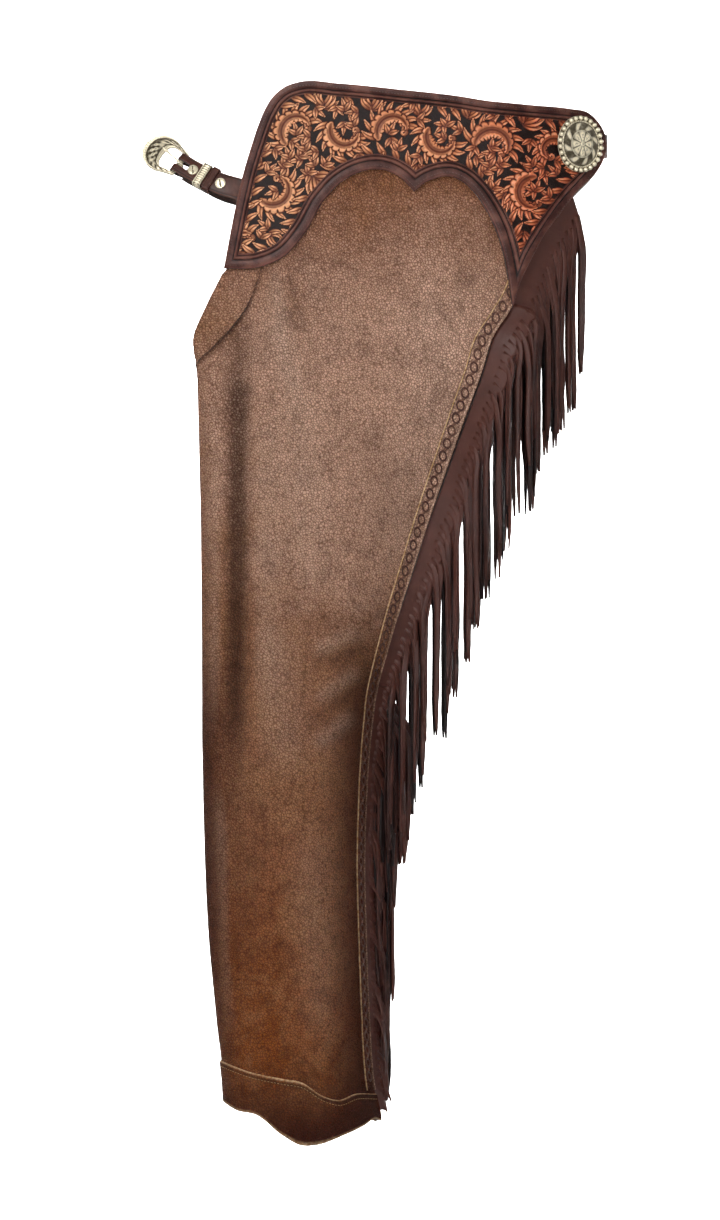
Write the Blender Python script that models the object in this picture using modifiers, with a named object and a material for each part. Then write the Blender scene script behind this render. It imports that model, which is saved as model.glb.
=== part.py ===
"""Leather show chaps, hanging and half filled out.

Metres and +Z up in the scene; the tables below are in millimetres. +X points to the centre back,
-Y to the wearer's left. The origin lies between the two yokes, level with their top edge.
The left leg is at -Y, and the right leg is its mirror image in the plane Y = 0.
"""

import math
from typing import NamedTuple

import bmesh
import bpy
import numpy as np
from mathutils import Matrix, Vector

MM = 0.001

# ---------------------------------------------------------------- driving sizes (mm)
LEG_WALL = 2.4
YOKE_WALL = 3.0
TRIM_GAP = 0.6  # clearance between layers that lie on each other on a curved wall
SEAM_GAP = 0.4
GUSSET_PARTING = 0.75  # half the gap between the two panels at the inner seam
YOKE_SEAT_GAP = 0.75
YOKE_LAP_GAP = 0.9  # the leg's top edge lies this far behind the yoke
SEAM_PARTING = 0.7  # half the gap between the two walls at the outer seam
GUSSET_TOP_Z = -178.0
HOOK_POWER = 9  # how late the section's base line turns back towards the seam
SEAM_SHARPNESS = 1.6  # how flat the two walls meet at the outer seam

BORDER_WIDTH = {"outer": 13.5, "right_lobe": 15.5, "left_lobe": 15.5}
BORDER_RIDGE = 2.4
BORDER_GROOVE = 0.9
BORDER_EDGE = 0.8
INLAY_WALL = 1.2

BRAID_WIDTH = 19.0
BRAID_GAP = 1.15
BRAID_WALL = 1.4
BRAID_BUMP = 2.0
BRAID_PITCH = 13.6
BRAID_TOP_Z, BRAID_END_Z = -236.0, -1008.0
HEM_WALL = 1.6

FRINGE_WALL = 1.6
FRINGE_STRIP = 16.0
STRAND_WIDTH = 5.2
STRAND_LANE = 2.3  # neighbouring strands hang this far to either side of the strip
THIGH_FRINGE = (-246.0, -604.0)  # where the fringe strip in the seam starts and ends
SHIN_FRINGE = (-622.0, -1036.0)
FRINGE_END_Z = -1046.0
FAN_TURNS = 10  # directions in which the shin's strands hang round the strip's edge

STRAP_WIDTH = 22.0
STRAP_WALL = 2.2
FOLD_RADIUS = 3.9
LAYER_STEP = STRAP_WALL + SEAM_GAP
STRAP_TILT = math.radians(25)
BAND_ROOM = 0.95  # between the strap's layers and the loop and keeper round them
TONGUE_SLOT = 3.2
TONGUE_WIRE = 1.0
TONGUE_LENGTH = 25.0
TONGUE_TURN = 3.8  # radius of its hook round the bar
TONGUE_DROP = 1.6
TONGUE_LIFT = math.radians(35)
BUCKLE_WALL = 3.2
CONCHO_RADIUS = 28.5
CONCHO_BEADS = 24
CONCHO_CENTRE = (172.5, -60.0)


class Section(NamedTuple):
    """One level of a leg: its front fold, its outer seam, and how deep the two walls bulge."""

    z: float
    fold_x: float
    seam_x: float
    seam_y: float
    depth_out: float
    depth_in: float


SECTIONS = (
    Section(-1070, -176, -24, -34, 43, 40),
    Section(-1048, -178, -26, -33, 44, 41),
    Section(-1012, -180, -33, -32, 44, 41),
    Section(-939, -188, -39, -31, 45, 42),
    Section(-859, -195, -42, -30, 46, 42),
    Section(-776, -199, -43.5, -31, 46, 42),
    Section(-705, -201, -41, -33, 46, 42),
    Section(-649, -202, -36, -36, 46, 42),
    Section(-614, -202, -31, -39, 46, 42),
    Section(-564, -202, -17, -46, 46, 42),
    Section(-480, -203, 11, -56, 46, 42),
    Section(-410, -204, 35, -62, 46, 42),
    Section(-340, -205, 60, -68, 46, 42),
    Section(-290, -207, 78, -74, 46, 42),
    Section(-255, -211, 89, -80, 44, 40),
    Section(-226, -199, 106, -84, 42, 38),
    Section(-187, -179, 108, -84, 38, 34),
    Section(-130, -152, 106, -84, 34, 30),
    Section(-60, -130, 100, -84, 34, 30),
)
FOLD_Y = -56.0  # the plane of the front fold below the hip

# The hip: the yoke's back face in plan, x against y. It runs level across the hip and turns in to the back.
HIP_PLAN = ((-215, -62), (-181, -74), (-145, -84), (-75, -92), (25, -94), (75, -91),
            (105, -84), (135, -66), (170, -40), (206, -12))
HIP_TOP_Z, HIP_END_Z = -235, -420  # between these the wall passes from the hip's plan to the leg's section


class Fold(NamedTuple):
    """A lasting fold in the outer wall: top, bottom, half width and depth (below 0 it stands out)."""

    top_x: float
    top_z: float
    bottom_x: float
    bottom_z: float
    width: float
    depth: float


FOLDS = (
    Fold(-168, -250, -169, -640, 12, 4.5),
    Fold(-132, -205, -100, -460, 20, -4.0),
    Fold(-118, -205, -96, -245, 9, 2.6),
    Fold(-75, -545, -32, -565, 16, 2.2),
    Fold(-70, -640, -46, -585, 14, 2.4),
)

# The inner seam in the section's own measure: 0 is the front fold, 1 the outer seam, below 0 the inner wall.
GUSSET_SEAM = ((-1070, -0.30), (-340, -0.28), (-305, -0.16), (-284, 0.0), (-270, 0.135),
               (-253, 0.205), (-233, 0.232), (-210, 0.236), (-187, 0.227), (-150, 0.22))
# How a panel's rows are spaced: share of the rows, share of the height. They are closer where the seam turns.
ROW_SPACING = ((0.0, 0.0), (0.10, 0.085), (0.34, 0.19), (1.0, 1.0))
# Upper edges: x against z for the front panel, section measure against z for the back one.
FRONT_TOP = ((-143, -177), (-120, -146), (-100, -118), (-75, -90), (-32, -77), (9, -79),
             (45, -83), (80, -103), (97, -135), (108, -180))
BACK_TOP = ((-1.0, -246), (-0.75, -280), (-0.45, -300), (-0.2, -285), (-0.08, -240), (0.0, -192),
            (0.1, -181), (0.24, -178))
HEM_FRONT = ((-179, -1024), (-168, -1031), (-147, -1036), (-122, -1056), (-103, -1066), (-92, -1066),
             (-62, -1056), (-45, -1049), (-33, -1043), (-25, -1046))
HEM_BACK = ((-179, -1024), (-140, -1022), (-90, -1030), (-45, -1042), (-25, -1046))
HEM_TOP = ((-182, -983), (-155, -993), (-122, -1000), (-103, -1004), (-86, -1017), (-72, -1022),
           (-52, -1017), (-34, -1019))

# The yoke's outline as seen from the side, clockwise from its lower front corner: x, z.
YOKE_OUTER = ((-181, -187), (-168, -120), (-161, -90), (-152, -60), (-147, -45), (-141, -30), (-132, -15),
              (-120, -5), (-105, 0), (-64, -2), (-5, -8), (57, -15), (75, -18), (120, -22), (165, -24.5),
              (182, -27), (194, -37), (201, -50), (202, -65), (196, -81), (186, -94), (172, -108),
              (154, -131), (137, -155), (123, -182), (112.5, -205), (107, -226))
YOKE_RIGHT_LOBE = ((107, -226), (105, -212), (102, -191), (97, -167), (90, -146), (81, -128), (70, -112),
                   (57, -100), (45, -95), (31, -97), (18, -103), (9.5, -110.5))
YOKE_LEFT_LOBE = ((9.5, -110.5), (-5, -96), (-20, -89), (-32, -88), (-48, -92), (-65, -102), (-81, -119),
                  (-101, -153), (-122, -176), (-146, -186), (-181, -187))
BEND_X = 108.0
YOKE_RULINGS = (-150, -110, -70, -25, 20, 50, 70, 82, 94, 104, 114, 124, 134, 148, 165, 185)

# The buckle strap's middle line, from under the yoke to the buckle: x, y, z.
STRAP_LINE = ((-125, -85.2, -119), (-145, -81.6, -113.5), (-166, -75.6, -107), (-183, -69.5, -102),
              (-199.5, -63.5, -94.5), (-215, -58, -86.5), (-227, -53.5, -79))
STRAP_RETURN_X = -176  # where the layer folded back round the buckle's bar ends
STRAP_FITTINGS = {"screw_1": -185.0, "loop": -194.8, "keeper": -203.6, "screw_2": -213.0}
BILLET_HOLES = (-178.0, -190.0, -202.0)

BUCKLE_OUTLINE = ((-1.7, 14), (8, 16.5), (18, 19.5), (28, 19), (36, 14.5), (41, 7.5), (42.5, 0))
BUCKLE_WINDOW = ((1.7, 11.8), (8, 12), (15, 12.2), (19, 9.5), (20.5, 4), (20.8, 0))


class Look(NamedTuple):
    """A finish for one object's own material."""

    color: tuple
    roughness: float
    metallic: float = 0.0


LEG_LEATHER = Look((0.150, 0.078, 0.046), 0.55)
DARK_LEATHER = Look((0.045, 0.016, 0.013), 0.45)
TOOLED_LEATHER = Look((0.420, 0.170, 0.075), 0.5)
FRINGE_LEATHER = Look((0.050, 0.022, 0.018), 0.6)
SILVER = Look((0.52, 0.46, 0.36), 0.3, 1.0)


class Detail(NamedTuple):
    """How finely one side of the pair is divided, and which way it faces."""

    name: str
    sign: int
    front_columns: int
    back_columns: int
    leg_rows: int
    border: tuple
    strand_pitch: float
    strand_rows: int
    braid_pitch: float


SIDES = (
    Detail("L", 1, 20, 11, 22, (37, 12, 13), 12.0, 3, BRAID_PITCH),
    Detail("R", -1, 14, 9, 22, (37, 12, 13), 18.0, 3, BRAID_PITCH * 2.5),
)


# ---------------------------------------------------------------- small helpers
def through(table, at):
    """A smooth cubic through the rows (key, value) of a table, level beyond its ends."""
    rows = np.array(sorted(table), float)
    keys, values = rows[:, 0], rows[:, 1]
    slopes = np.gradient(values, keys)
    at = np.clip(at, keys[0], keys[-1])
    i = np.clip(np.searchsorted(keys, at, side="right") - 1, 0, len(keys) - 2)
    step = keys[i + 1] - keys[i]
    t = (at - keys[i]) / step
    return ((2 * t**3 - 3 * t**2 + 1) * values[i] + (t**3 - 2 * t**2 + t) * step * slopes[i]
            + (3 * t**2 - 2 * t**3) * values[i + 1] + (t**3 - t**2) * step * slopes[i + 1])


def section(field, z):
    """One column of SECTIONS at the heights z."""
    return through([(row.z, getattr(row, field)) for row in SECTIONS], z)


def ease(value, start, end):
    """0 before start, 1 past end, smooth between."""
    t = np.clip((value - start) / (end - start), 0, 1)
    return t * t * (3 - 2 * t)


def unit(vectors):
    return vectors / np.linalg.norm(vectors, axis=-1, keepdims=True)


def resample(points, count, smooth=True):
    """count points evenly spaced along a line through the given ones."""
    points = np.array(points, float)
    run = np.concatenate([[0], np.cumsum(np.linalg.norm(np.diff(points, axis=0), axis=1))])
    at = np.linspace(0, run[-1], 40 * len(points))
    if smooth:
        fine = np.stack([through(list(zip(run, column)), at) for column in points.T], 1)
    else:
        fine = np.stack([np.interp(at, run, column) for column in points.T], 1)
    run = np.concatenate([[0], np.cumsum(np.linalg.norm(np.diff(fine, axis=0), axis=1))])
    at = np.linspace(0, run[-1], count)
    return np.stack([np.interp(at, run, column) for column in fine.T], 1)


def material(name, look):
    made = bpy.data.materials.new(name)
    made.use_nodes = True
    shader = made.node_tree.nodes["Principled BSDF"]
    shader.inputs["Base Color"].default_value = (*look.color, 1)
    shader.inputs["Roughness"].default_value = look.roughness
    shader.inputs["Metallic"].default_value = look.metallic
    return made


def finish(obj, look, collection):
    """Names the object's material after it and puts it in the collection."""
    obj.data.materials.append(material(obj.name, look))
    for user in list(obj.users_collection):
        user.objects.unlink(obj)
    collection.objects.link(obj)
    return obj


def mesh_object(name, points, faces, look, collection, sign=1):
    """A mesh from points in mm. sign -1 mirrors it to the right side and keeps its faces outward."""
    points = np.array(points, float).reshape(-1, 3) * (1, sign, 1) * MM
    faces = [list(face)[::sign] for face in faces]
    mesh = bpy.data.meshes.new(name)
    mesh.from_pydata(points.tolist(), [], faces)
    mesh.update()
    return finish(bpy.data.objects.new(name, mesh), look, collection)


def grid_faces(rows, columns, wrap_rows=False, start=0):
    """Quads of a grid stored row by row."""
    last = rows if wrap_rows else rows - 1
    i, j = np.meshgrid(np.arange(last), np.arange(columns - 1), indexing="ij")
    i, j = i.ravel(), j.ravel()
    first, following = start + i * columns + j, start + (i + 1) % rows * columns + j
    return np.stack([first, first + 1, following + 1, following], 1).tolist()


def face_outward(obj):
    """Turns the faces of a closed mesh outward."""
    net = bmesh.new()
    net.from_mesh(obj.data)
    bmesh.ops.recalc_face_normals(net, faces=net.faces[:])
    net.to_mesh(obj.data)
    net.free()
    return obj


def solidify(obj, thickness, offset=1.0):
    """Gives an open sheet its thickness; offset 1 grows it outward, 0 to both sides."""
    wall = obj.modifiers.new("wall", "SOLIDIFY")
    wall.thickness = thickness * MM
    wall.offset = offset
    return obj


# ---------------------------------------------------------------- the leg's walls
def hip_y(x):
    return through(HIP_PLAN, x)


def hip_slope(x):
    return (hip_y(x + 0.5) - hip_y(x - 0.5)) / 1.0


def hip_point(x, z, out):
    """A point on the hip surface at x and z, moved out along its normal."""
    slope = hip_slope(x)
    scale = out / np.sqrt(1 + slope**2)
    return np.stack(np.broadcast_arrays(x + slope * scale, hip_y(x) - scale, z), -1)


def fold_relief(x, z):
    """How far the lasting folds press the outer wall in."""
    pressed = np.zeros_like(x)
    for fold in FOLDS:
        run = np.clip((fold.top_z - z) / (fold.top_z - fold.bottom_z), 0, 1)
        centre = fold.top_x + (fold.bottom_x - fold.top_x) * run
        pressed += fold.depth * np.sin(math.pi * run) ** 0.8 * np.exp(-(((x - centre) / fold.width) ** 2))
    return pressed


def leg_surface(measure, z):
    """The inner face of the leg's walls. measure runs from -1 (outer seam, inner wall) through 0
    (front fold) to 1 (outer seam, outer wall). The section is u = (1 - cos(pi t)) / 2 across and a
    power of sin(pi t) deep, on a base line that turns back near the seam."""
    t = np.abs(measure)
    fold_x, seam_x = section("fold_x", z), section("seam_x", z)
    u = (1 - np.cos(math.pi * t)) / 2
    x = fold_x + (seam_x - fold_x) * u
    bulge = np.maximum(np.sin(math.pi * t), 0) ** (1 + SEAM_SHARPNESS * u**2)
    to_leg = 1 - ease(z, HIP_END_Z, HIP_TOP_Z)
    lap = (YOKE_LAP_GAP + LEG_WALL) * np.sqrt(1 + hip_slope(x) ** 2)
    fold_end = (1 - to_leg) * (hip_y(fold_x) + lap) + to_leg * FOLD_Y
    seam_end = (1 - to_leg) * (hip_y(seam_x) + lap) + to_leg * section("seam_y", z)
    base = fold_end + (seam_end - fold_end) * u**HOOK_POWER
    leg_base = FOLD_Y + (section("seam_y", z) - FOLD_Y) * u**HOOK_POWER
    outer = (1 - to_leg) * (hip_y(x) + lap) + to_leg * (leg_base - section("depth_out", z) * bulge)
    outer = outer + fold_relief(x, z) * np.minimum(1, 4 * bulge)
    inner = base + section("depth_in", z) * bulge
    parted = SEAM_PARTING * ease(t, 0.85, 1.0)
    return np.stack([x, np.where(measure > 0, outer - parted, inner + parted), z], -1)


def leg_normal(measure, z):
    """The outward direction of the walls, read just short of the seam, where the measure stops."""
    measure = np.clip(measure, -0.97, 0.97)
    along = leg_surface(measure + 0.01, z) - leg_surface(measure - 0.01, z)
    down = leg_surface(measure, z - 1.0) - leg_surface(measure, z + 1.0)
    return unit(np.cross(down, along))


class Wall:
    """One leg panel as a grid: columns by its own share q across, rows by v from its top to its hem."""

    def __init__(self, columns, rows, outer):
        self.outer = outer
        self.q = np.linspace(0, 1, columns)
        self.v = np.interp(np.linspace(0, 1, rows), *zip(*ROW_SPACING))
        self.top, self.bottom = self.edge(self.q, True), self.edge(self.q, False)
        z = self.top[None, :] + (self.bottom - self.top)[None, :] * self.v[:, None]
        measure = self.measure(self.q[None, :], z)
        self.points = leg_surface(measure, z)
        self.normals = leg_normal(measure, z)

    def measure(self, q, z):
        """The section measure of share q at height z."""
        seam = through(GUSSET_SEAM, z)
        return seam + q * (1 - seam) if self.outer else -1 + q * (seam + 1)

    def edge(self, q, upper):
        """The height of the panel's upper or lower edge at share q. The edge is known by x, so a few
        rounds bring height and x together."""
        z = np.full_like(q, -150.0 if upper else -1040.0)
        for _ in range(12):
            measure = self.measure(q, z)
            x = leg_surface(measure, z)[..., 0]
            if upper:
                z = 0.5 * z + 0.5 * (through(FRONT_TOP, x) if self.outer else through(BACK_TOP, measure))
            else:
                z = np.where(measure > 0, through(HEM_FRONT, x), through(HEM_BACK, x))
        if upper:
            z[0 if self.outer else -1] = GUSSET_TOP_Z
        return z

    def row_at(self, q, z):
        top, bottom = np.interp(q, self.q, self.top), np.interp(q, self.q, self.bottom)
        return (top - z) / (top - bottom)

    def at(self, q, z, out):
        """Points on the panel's own facets at share q and height z, moved out along its normals."""
        q, z, out = np.broadcast_arrays(np.array(q, float), np.array(z, float), out)
        a = np.clip(q * (len(self.q) - 1), 0, len(self.q) - 1.0001)
        b = np.clip(self.row_at(q, z) * (len(self.v) - 1), 0, len(self.v) - 1.0001)
        i, j = b.astype(int), a.astype(int)
        b, a = (b - i)[..., None], (a - j)[..., None]
        mixed = [
            (1 - b) * ((1 - a) * data[i, j] + a * data[i, j + 1])
            + b * ((1 - a) * data[i + 1, j] + a * data[i + 1, j + 1])
            for data in (self.points, self.normals)
        ]
        return mixed[0] + unit(mixed[1]) * out[..., None]

    def share_from_seam(self, z, distance):
        """The share q at a distance from the outer seam, measured along the wall at height z."""
        q = np.linspace(0.6, 1, 120) if self.outer else np.linspace(0.4, 0, 120)
        line = self.at(q, z, 0.0)
        left = np.concatenate([[0], np.cumsum(np.linalg.norm(np.diff(line[::-1], axis=0), axis=1))])
        return np.interp(distance, left, q[::-1])


def seam_line(z):
    """The outer seam at heights z: its point, and the horizontal direction in which its flange lies."""
    tip = (leg_surface(np.ones_like(z), z) + leg_surface(-np.ones_like(z), z)) / 2
    before = (leg_surface(np.full_like(z, 0.86), z) + leg_surface(np.full_like(z, -0.86), z)) / 2
    heading = unit((tip - before) * (1, 1, 0))
    return tip, heading


def leg_panels(side, collection):
    """The front panel and the back panel of one leg, and the walls that trim is laid on."""
    walls = {}
    for name, outer, columns in (("front", True, side.front_columns), ("back", False, side.back_columns)):
        wall = Wall(columns, side.leg_rows, outer)
        edge, inward = (0, 1) if outer else (-1, -1)
        points = wall.points
        seam = np.gradient(points[:, edge], axis=0)
        points[:, edge] += unit(np.cross(wall.normals[:, edge], seam)) * inward * GUSSET_PARTING
        over = points + wall.normals * LEG_WALL
        slab(f"leg_{name}_{side.name}", points, over, LEG_LEATHER, collection, side.sign)
        walls[name] = wall
    return walls


# ---------------------------------------------------------------- trim on the leg
def slab(name, under, over, look, collection, sign):
    """A closed piece between two grids of the same size: its underside and its top."""
    rows, columns = under.shape[:2]
    count = rows * columns
    faces = grid_faces(rows, columns, start=count) + grid_faces(rows, columns)
    rim = ([i * columns for i in range(rows)] + [(rows - 1) * columns + j for j in range(1, columns)]
           + [i * columns + columns - 1 for i in range(rows - 2, -1, -1)] + list(range(columns - 2, 0, -1)))
    faces += [[a, b, b + count, a + count] for a, b in zip(rim, rim[1:] + rim[:1])]
    points = np.concatenate([under.reshape(-1, 3), over.reshape(-1, 3)])
    return face_outward(mesh_object(name, points, faces, look, collection, sign))


def braid(side, wall, collection):
    """The laced strip along the outer seam, a raised crossing at each pitch."""
    crossings = int((BRAID_TOP_Z - BRAID_END_Z) / side.braid_pitch)
    z = np.linspace(BRAID_TOP_Z, BRAID_END_Z, 2 * crossings + 1)
    across = np.array([BRAID_WIDTH, 0.5 * BRAID_WIDTH, 2 * SEAM_GAP])
    share = np.stack([wall.share_from_seam(level, across) for level in z])
    raised = np.zeros(share.shape)
    raised[1::2, 1] = BRAID_BUMP
    under = wall.at(share, z[:, None], LEG_WALL + BRAID_GAP)
    over = wall.at(share, z[:, None], LEG_WALL + BRAID_GAP + BRAID_WALL + raised)
    slab(f"braid_{side.name}", under, over, DARK_LEATHER, collection, side.sign)


def hem_bands(side, walls, collection):
    """The bands round the leg's lower end, one on each panel."""
    for name, wall in walls.items():
        q = wall.q.copy()
        q[0], q[-1] = q[0] + 0.01, q[-1] - 0.01
        x = wall.at(q, -1000.0, 0.0)[..., 0]
        high = through(HEM_TOP, x)
        low = np.interp(q, wall.q, wall.bottom) + 0.8
        z = high[None, :] + (low - high)[None, :] * np.linspace(0, 1, 4)[:, None]
        under, over = (wall.at(q[None, :], z, LEG_WALL + TRIM_GAP + extra) for extra in (0, HEM_WALL))
        slab(f"hem_{name}_{side.name}", under, over, LEG_LEATHER, collection, side.sign)


# ---------------------------------------------------------------- fringe
class Strands(NamedTuple):
    """A fringe strip: the corners of its roots on the sewn line and on the edge, and their middles."""

    inner: np.ndarray
    edge: np.ndarray
    middles: np.ndarray


def fringe(name, strands, hang, rows, collection, sign):
    """A strip with a strand below each root, all one sheet. Points go in pairs, the upper and the
    lower corner of each root. hang gives a strand's middle and its half width at its rows."""
    count = len(strands.middles)
    points = np.stack([strands.inner, strands.edge], 1).reshape(-1, 3)
    faces = [[2 * k, 2 * k + 1, 2 * k + 3, 2 * k + 2] for k in range(2 * count - 1)]
    points = list(points)
    for k in range(count):
        upper, lower = 4 * k + 1, 4 * k + 3
        for middle, half in hang(k, np.linspace(0, 1, rows + 1)[1:] ** 1.15):
            start = len(points)
            points += [middle + half, middle - half]
            faces.append([upper, start, start + 1, lower])
            upper, lower = start, start + 1
    obj = mesh_object(name, points, faces, FRINGE_LEATHER, collection, sign)
    solidify(obj, FRINGE_WALL, 0.0)


def uneven(k, low, high):
    """A steady but uneven value for strand k."""
    return low + (high - low) * (0.5 + 0.5 * math.sin(2.4 * k + 1.3 * math.sin(0.7 * k)))


def seam_fringe(side, part, span, pitch, collection):
    """The fringe in the outer seam. On the thigh it hangs straight from the slanting seam; on the
    shin, where the seam is upright, the strands fan round the strip's edge and follow it down."""
    line = np.linspace(*span, 400)
    tip, heading = seam_line(line)
    run = np.concatenate([[0], np.cumsum(np.linalg.norm(np.diff(tip, axis=0), axis=1))])
    slant = unit(np.gradient(tip, axis=0))
    outward = unit(heading - slant * (heading * slant).sum(1, keepdims=True))
    strip = FRINGE_STRIP if part == "thigh" else 0.6 * FRINGE_STRIP

    def at(distance, data):
        return np.stack([np.interp(distance, run, column) for column in data.T], -1)

    middles = np.arange(pitch / 2, run[-1] - pitch / 2 + 0.1, pitch)
    corners = np.stack([middles - STRAND_WIDTH / 2, middles + STRAND_WIDTH / 2], 1).ravel()
    lean = LEG_WALL * (leg_normal(np.ones_like(line), line) * outward).sum(1, keepdims=True)
    inner = at(corners, tip) + at(corners, outward * (SEAM_GAP + 0.3 + np.maximum(lean, 0)))
    edge = at(corners, tip) + at(corners, outward) * strip
    edge_line = tip + outward * strip

    def hang_thigh(k, steps):
        root = at(middles[k], tip) + at(middles[k], outward) * strip
        flat = at(middles[k], heading)
        aside = np.array([-flat[1], flat[0], 0])
        length = uneven(k, 140, 178)
        for step in steps:
            drop = length * step
            lane = (1 if k % 2 else -1) * STRAND_LANE * float(ease(drop, 0, 9))
            sway = 1.0 * math.sin(5 * step + 0.15 * k)
            yield (root + flat * (STRAND_WIDTH / 2 + 0.6 + sway) + aside * lane - (0, 0, drop),
                   flat * STRAND_WIDTH / 2)

    def hang_shin(k, steps):
        length = uneven(k, 105, 145)
        root = at(middles[k], edge_line)
        length = min(length, root[2] - FRINGE_END_Z)
        turn = math.radians(-62 + 13.8 * ((3 * k) % FAN_TURNS))
        for step in steps:
            drop = length * step
            level = root[2] - drop
            x, y = (np.interp(-level, -edge_line[:, 2], edge_line[:, c]) for c in (0, 1))
            centre = np.array([x, y, level])
            flat = at(np.interp(-level, -tip[:, 2], run), heading)
            fan = np.array([flat[0] * math.cos(turn) - flat[1] * math.sin(turn),
                            flat[0] * math.sin(turn) + flat[1] * math.cos(turn), 0])
            reach = min(8.5, 0.6 + 0.27 * drop)
            yield centre + fan * (reach + STRAND_WIDTH / 2), fan * STRAND_WIDTH / 2

    hang = hang_thigh if part == "thigh" else hang_shin
    strands = Strands(inner, edge, middles)
    fringe(f"fringe_{part}_{side.name}", strands, hang, side.strand_rows, collection, side.sign)


def hip_fringe(side, collection):
    """The fringe behind the yoke's slanting back edge. It follows the hip's plan and hangs straight."""
    edge = resample([row for row in YOKE_OUTER if row[0] > 0 and row[1] <= -105], 200)[::-1]
    run = np.concatenate([[0], np.cumsum(np.linalg.norm(np.diff(edge, axis=0), axis=1))])
    slant = unit(np.gradient(edge, axis=0))
    inward = np.stack([-slant[:, 1], slant[:, 0]], 1)
    behind = -(YOKE_LAP_GAP + 0.5 * FRINGE_WALL)
    pitch = side.strand_pitch * 0.95
    middles = np.arange(37.0, run[-1] - 4, pitch)[::-1]

    def at(distance, shift):
        x, z = (np.interp(distance, run, edge[:, c] + inward[:, c] * shift) for c in (0, 1))
        return hip_point(x, z, behind)

    corners = np.stack([middles + STRAND_WIDTH / 2, middles - STRAND_WIDTH / 2], 1).ravel()
    strands = Strands(at(corners, 8.0), at(corners, -7.0), middles)

    def hang(k, steps):
        root = at(middles[k], -7.0)
        slope = float(hip_slope(root[0]))
        flat = unit(np.array([1.0, slope, 0.0]))
        aside = np.array([-flat[1], flat[0], 0])
        length = uneven(k, 172, 205)
        for step in steps:
            drop = length * step
            lane = (1 if k % 2 else -1) * STRAND_LANE * float(ease(drop, 0, 9))
            sway = 1.0 * math.sin(4.4 * step + 0.2 * k)
            yield (root + flat * (STRAND_WIDTH / 2 + 0.6 + sway) + aside * lane - (0, 0, drop),
                   flat * STRAND_WIDTH / 2)

    fringe(f"fringe_hip_{side.name}", strands, hang, side.strand_rows, collection, side.sign)


# ---------------------------------------------------------------- the yoke
def inset(sides, widths):
    """Each side of the outline moved inward by its width, and where it crosses its neighbours: the
    places of its two ends, counted in points."""
    moved = []
    for line, width in zip(sides, widths):
        heading = unit(np.gradient(line, axis=0))
        moved.append(line + np.stack([heading[:, 1], -heading[:, 0]], 1) * width)
    starts, ends = {}, {}
    for k in range(len(moved)):
        following = (k + 1) % len(moved)
        ends[k], starts[following] = crossing(moved[k], moved[following])
    return moved, [(starts[k], ends[k]) for k in range(len(moved))]


def moved_in(loop, distance):
    """A clockwise closed loop moved inward, its corners mitred."""
    heading = unit(np.roll(loop, -1, axis=0) - loop)
    side = np.stack([heading[:, 1], -heading[:, 0]], 1)
    before = np.roll(side, 1, axis=0)
    return loop + distance * (side + before) / (1 + (side * before).sum(1, keepdims=True))


def crossing(first, second):
    """Where the end of one line crosses the start of the next, counted in points along each."""
    for i in range(len(first) - 2, -1, -1):
        for j in range(len(second) - 1):
            a, b = first[i + 1] - first[i], second[j + 1] - second[j]
            span = a[0] * b[1] - a[1] * b[0]
            gap = second[j] - first[i]
            if abs(span) < 1e-9:
                continue
            s, t = (gap[0] * b[1] - gap[1] * b[0]) / span, (gap[0] * a[1] - gap[1] * a[0]) / span
            if 0 <= s <= 1 and 0 <= t <= 1:
                return i + s, j + t
    raise ValueError("the border's sides don't cross")


def along(line, places):
    """The points of a line at these places, counted in its own points."""
    return np.stack([np.interp(places, np.arange(len(line)), column) for column in line.T], 1)


def yoke_loops(counts):
    """The yoke's outline and its border's inner edge, with as many points each and each pair square to the
    border but near its corners. They are closer together where the hip bends."""
    sides = [resample(side, 120) for side in (YOKE_OUTER, YOKE_RIGHT_LOBE, YOKE_LEFT_LOBE)]
    outer, inner = [], []
    for side, moved, (start, end), count in zip(sides, *inset(sides, BORDER_WIDTH.values()), counts):
        fine = np.linspace(start, end, 400)
        line = along(moved, fine)
        step = np.linalg.norm(np.diff(line, axis=0), axis=1)
        closer = 1 + 2 * np.exp(-(((line[1:, 0] - BEND_X) / 30) ** 2)) + 2 * ease(line[1:, 0], 150, 180)
        run = np.concatenate([[0], np.cumsum(step * closer)])
        share = np.interp(np.linspace(0, run[-1], count + 1)[:-1], run, np.linspace(0, 1, 400))
        places = start + (end - start) * share
        inner.append(along(moved, places))
        outer.append(along(side, places - start * (1 - share) ** 4 + (len(side) - 1 - end) * share**4))
    return np.vstack(outer), np.vstack(inner)


def hip_plate(name, outline, out, thickness, look, collection, sign):
    """A flat leather piece with this outline, bent round the hip: cut along its rulings, then bent."""
    net = bmesh.new()
    face = net.faces.new([net.verts.new((x, 0, z)) for x, z in outline])
    face.normal_update()
    for x in YOKE_RULINGS:
        bmesh.ops.bisect_plane(net, geom=net.verts[:] + net.edges[:] + net.faces[:], dist=1e-4,
                               plane_co=(x, 0, 0), plane_no=(1, 0, 0))
    bmesh.ops.triangulate(net, faces=net.faces[:])
    for vert in net.verts:
        x, y, z = hip_point(np.array(vert.co.x), np.array(vert.co.z), out)
        vert.co = Vector((x, y * sign, z)) * MM
    bmesh.ops.recalc_face_normals(net, faces=net.faces[:])
    if sum(f.normal.y * f.calc_area() for f in net.faces) * sign > 0:
        bmesh.ops.reverse_faces(net, faces=net.faces[:])
    mesh = bpy.data.meshes.new(name)
    net.to_mesh(mesh)
    net.free()
    return solidify(finish(bpy.data.objects.new(name, mesh), look, collection), thickness)


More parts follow.
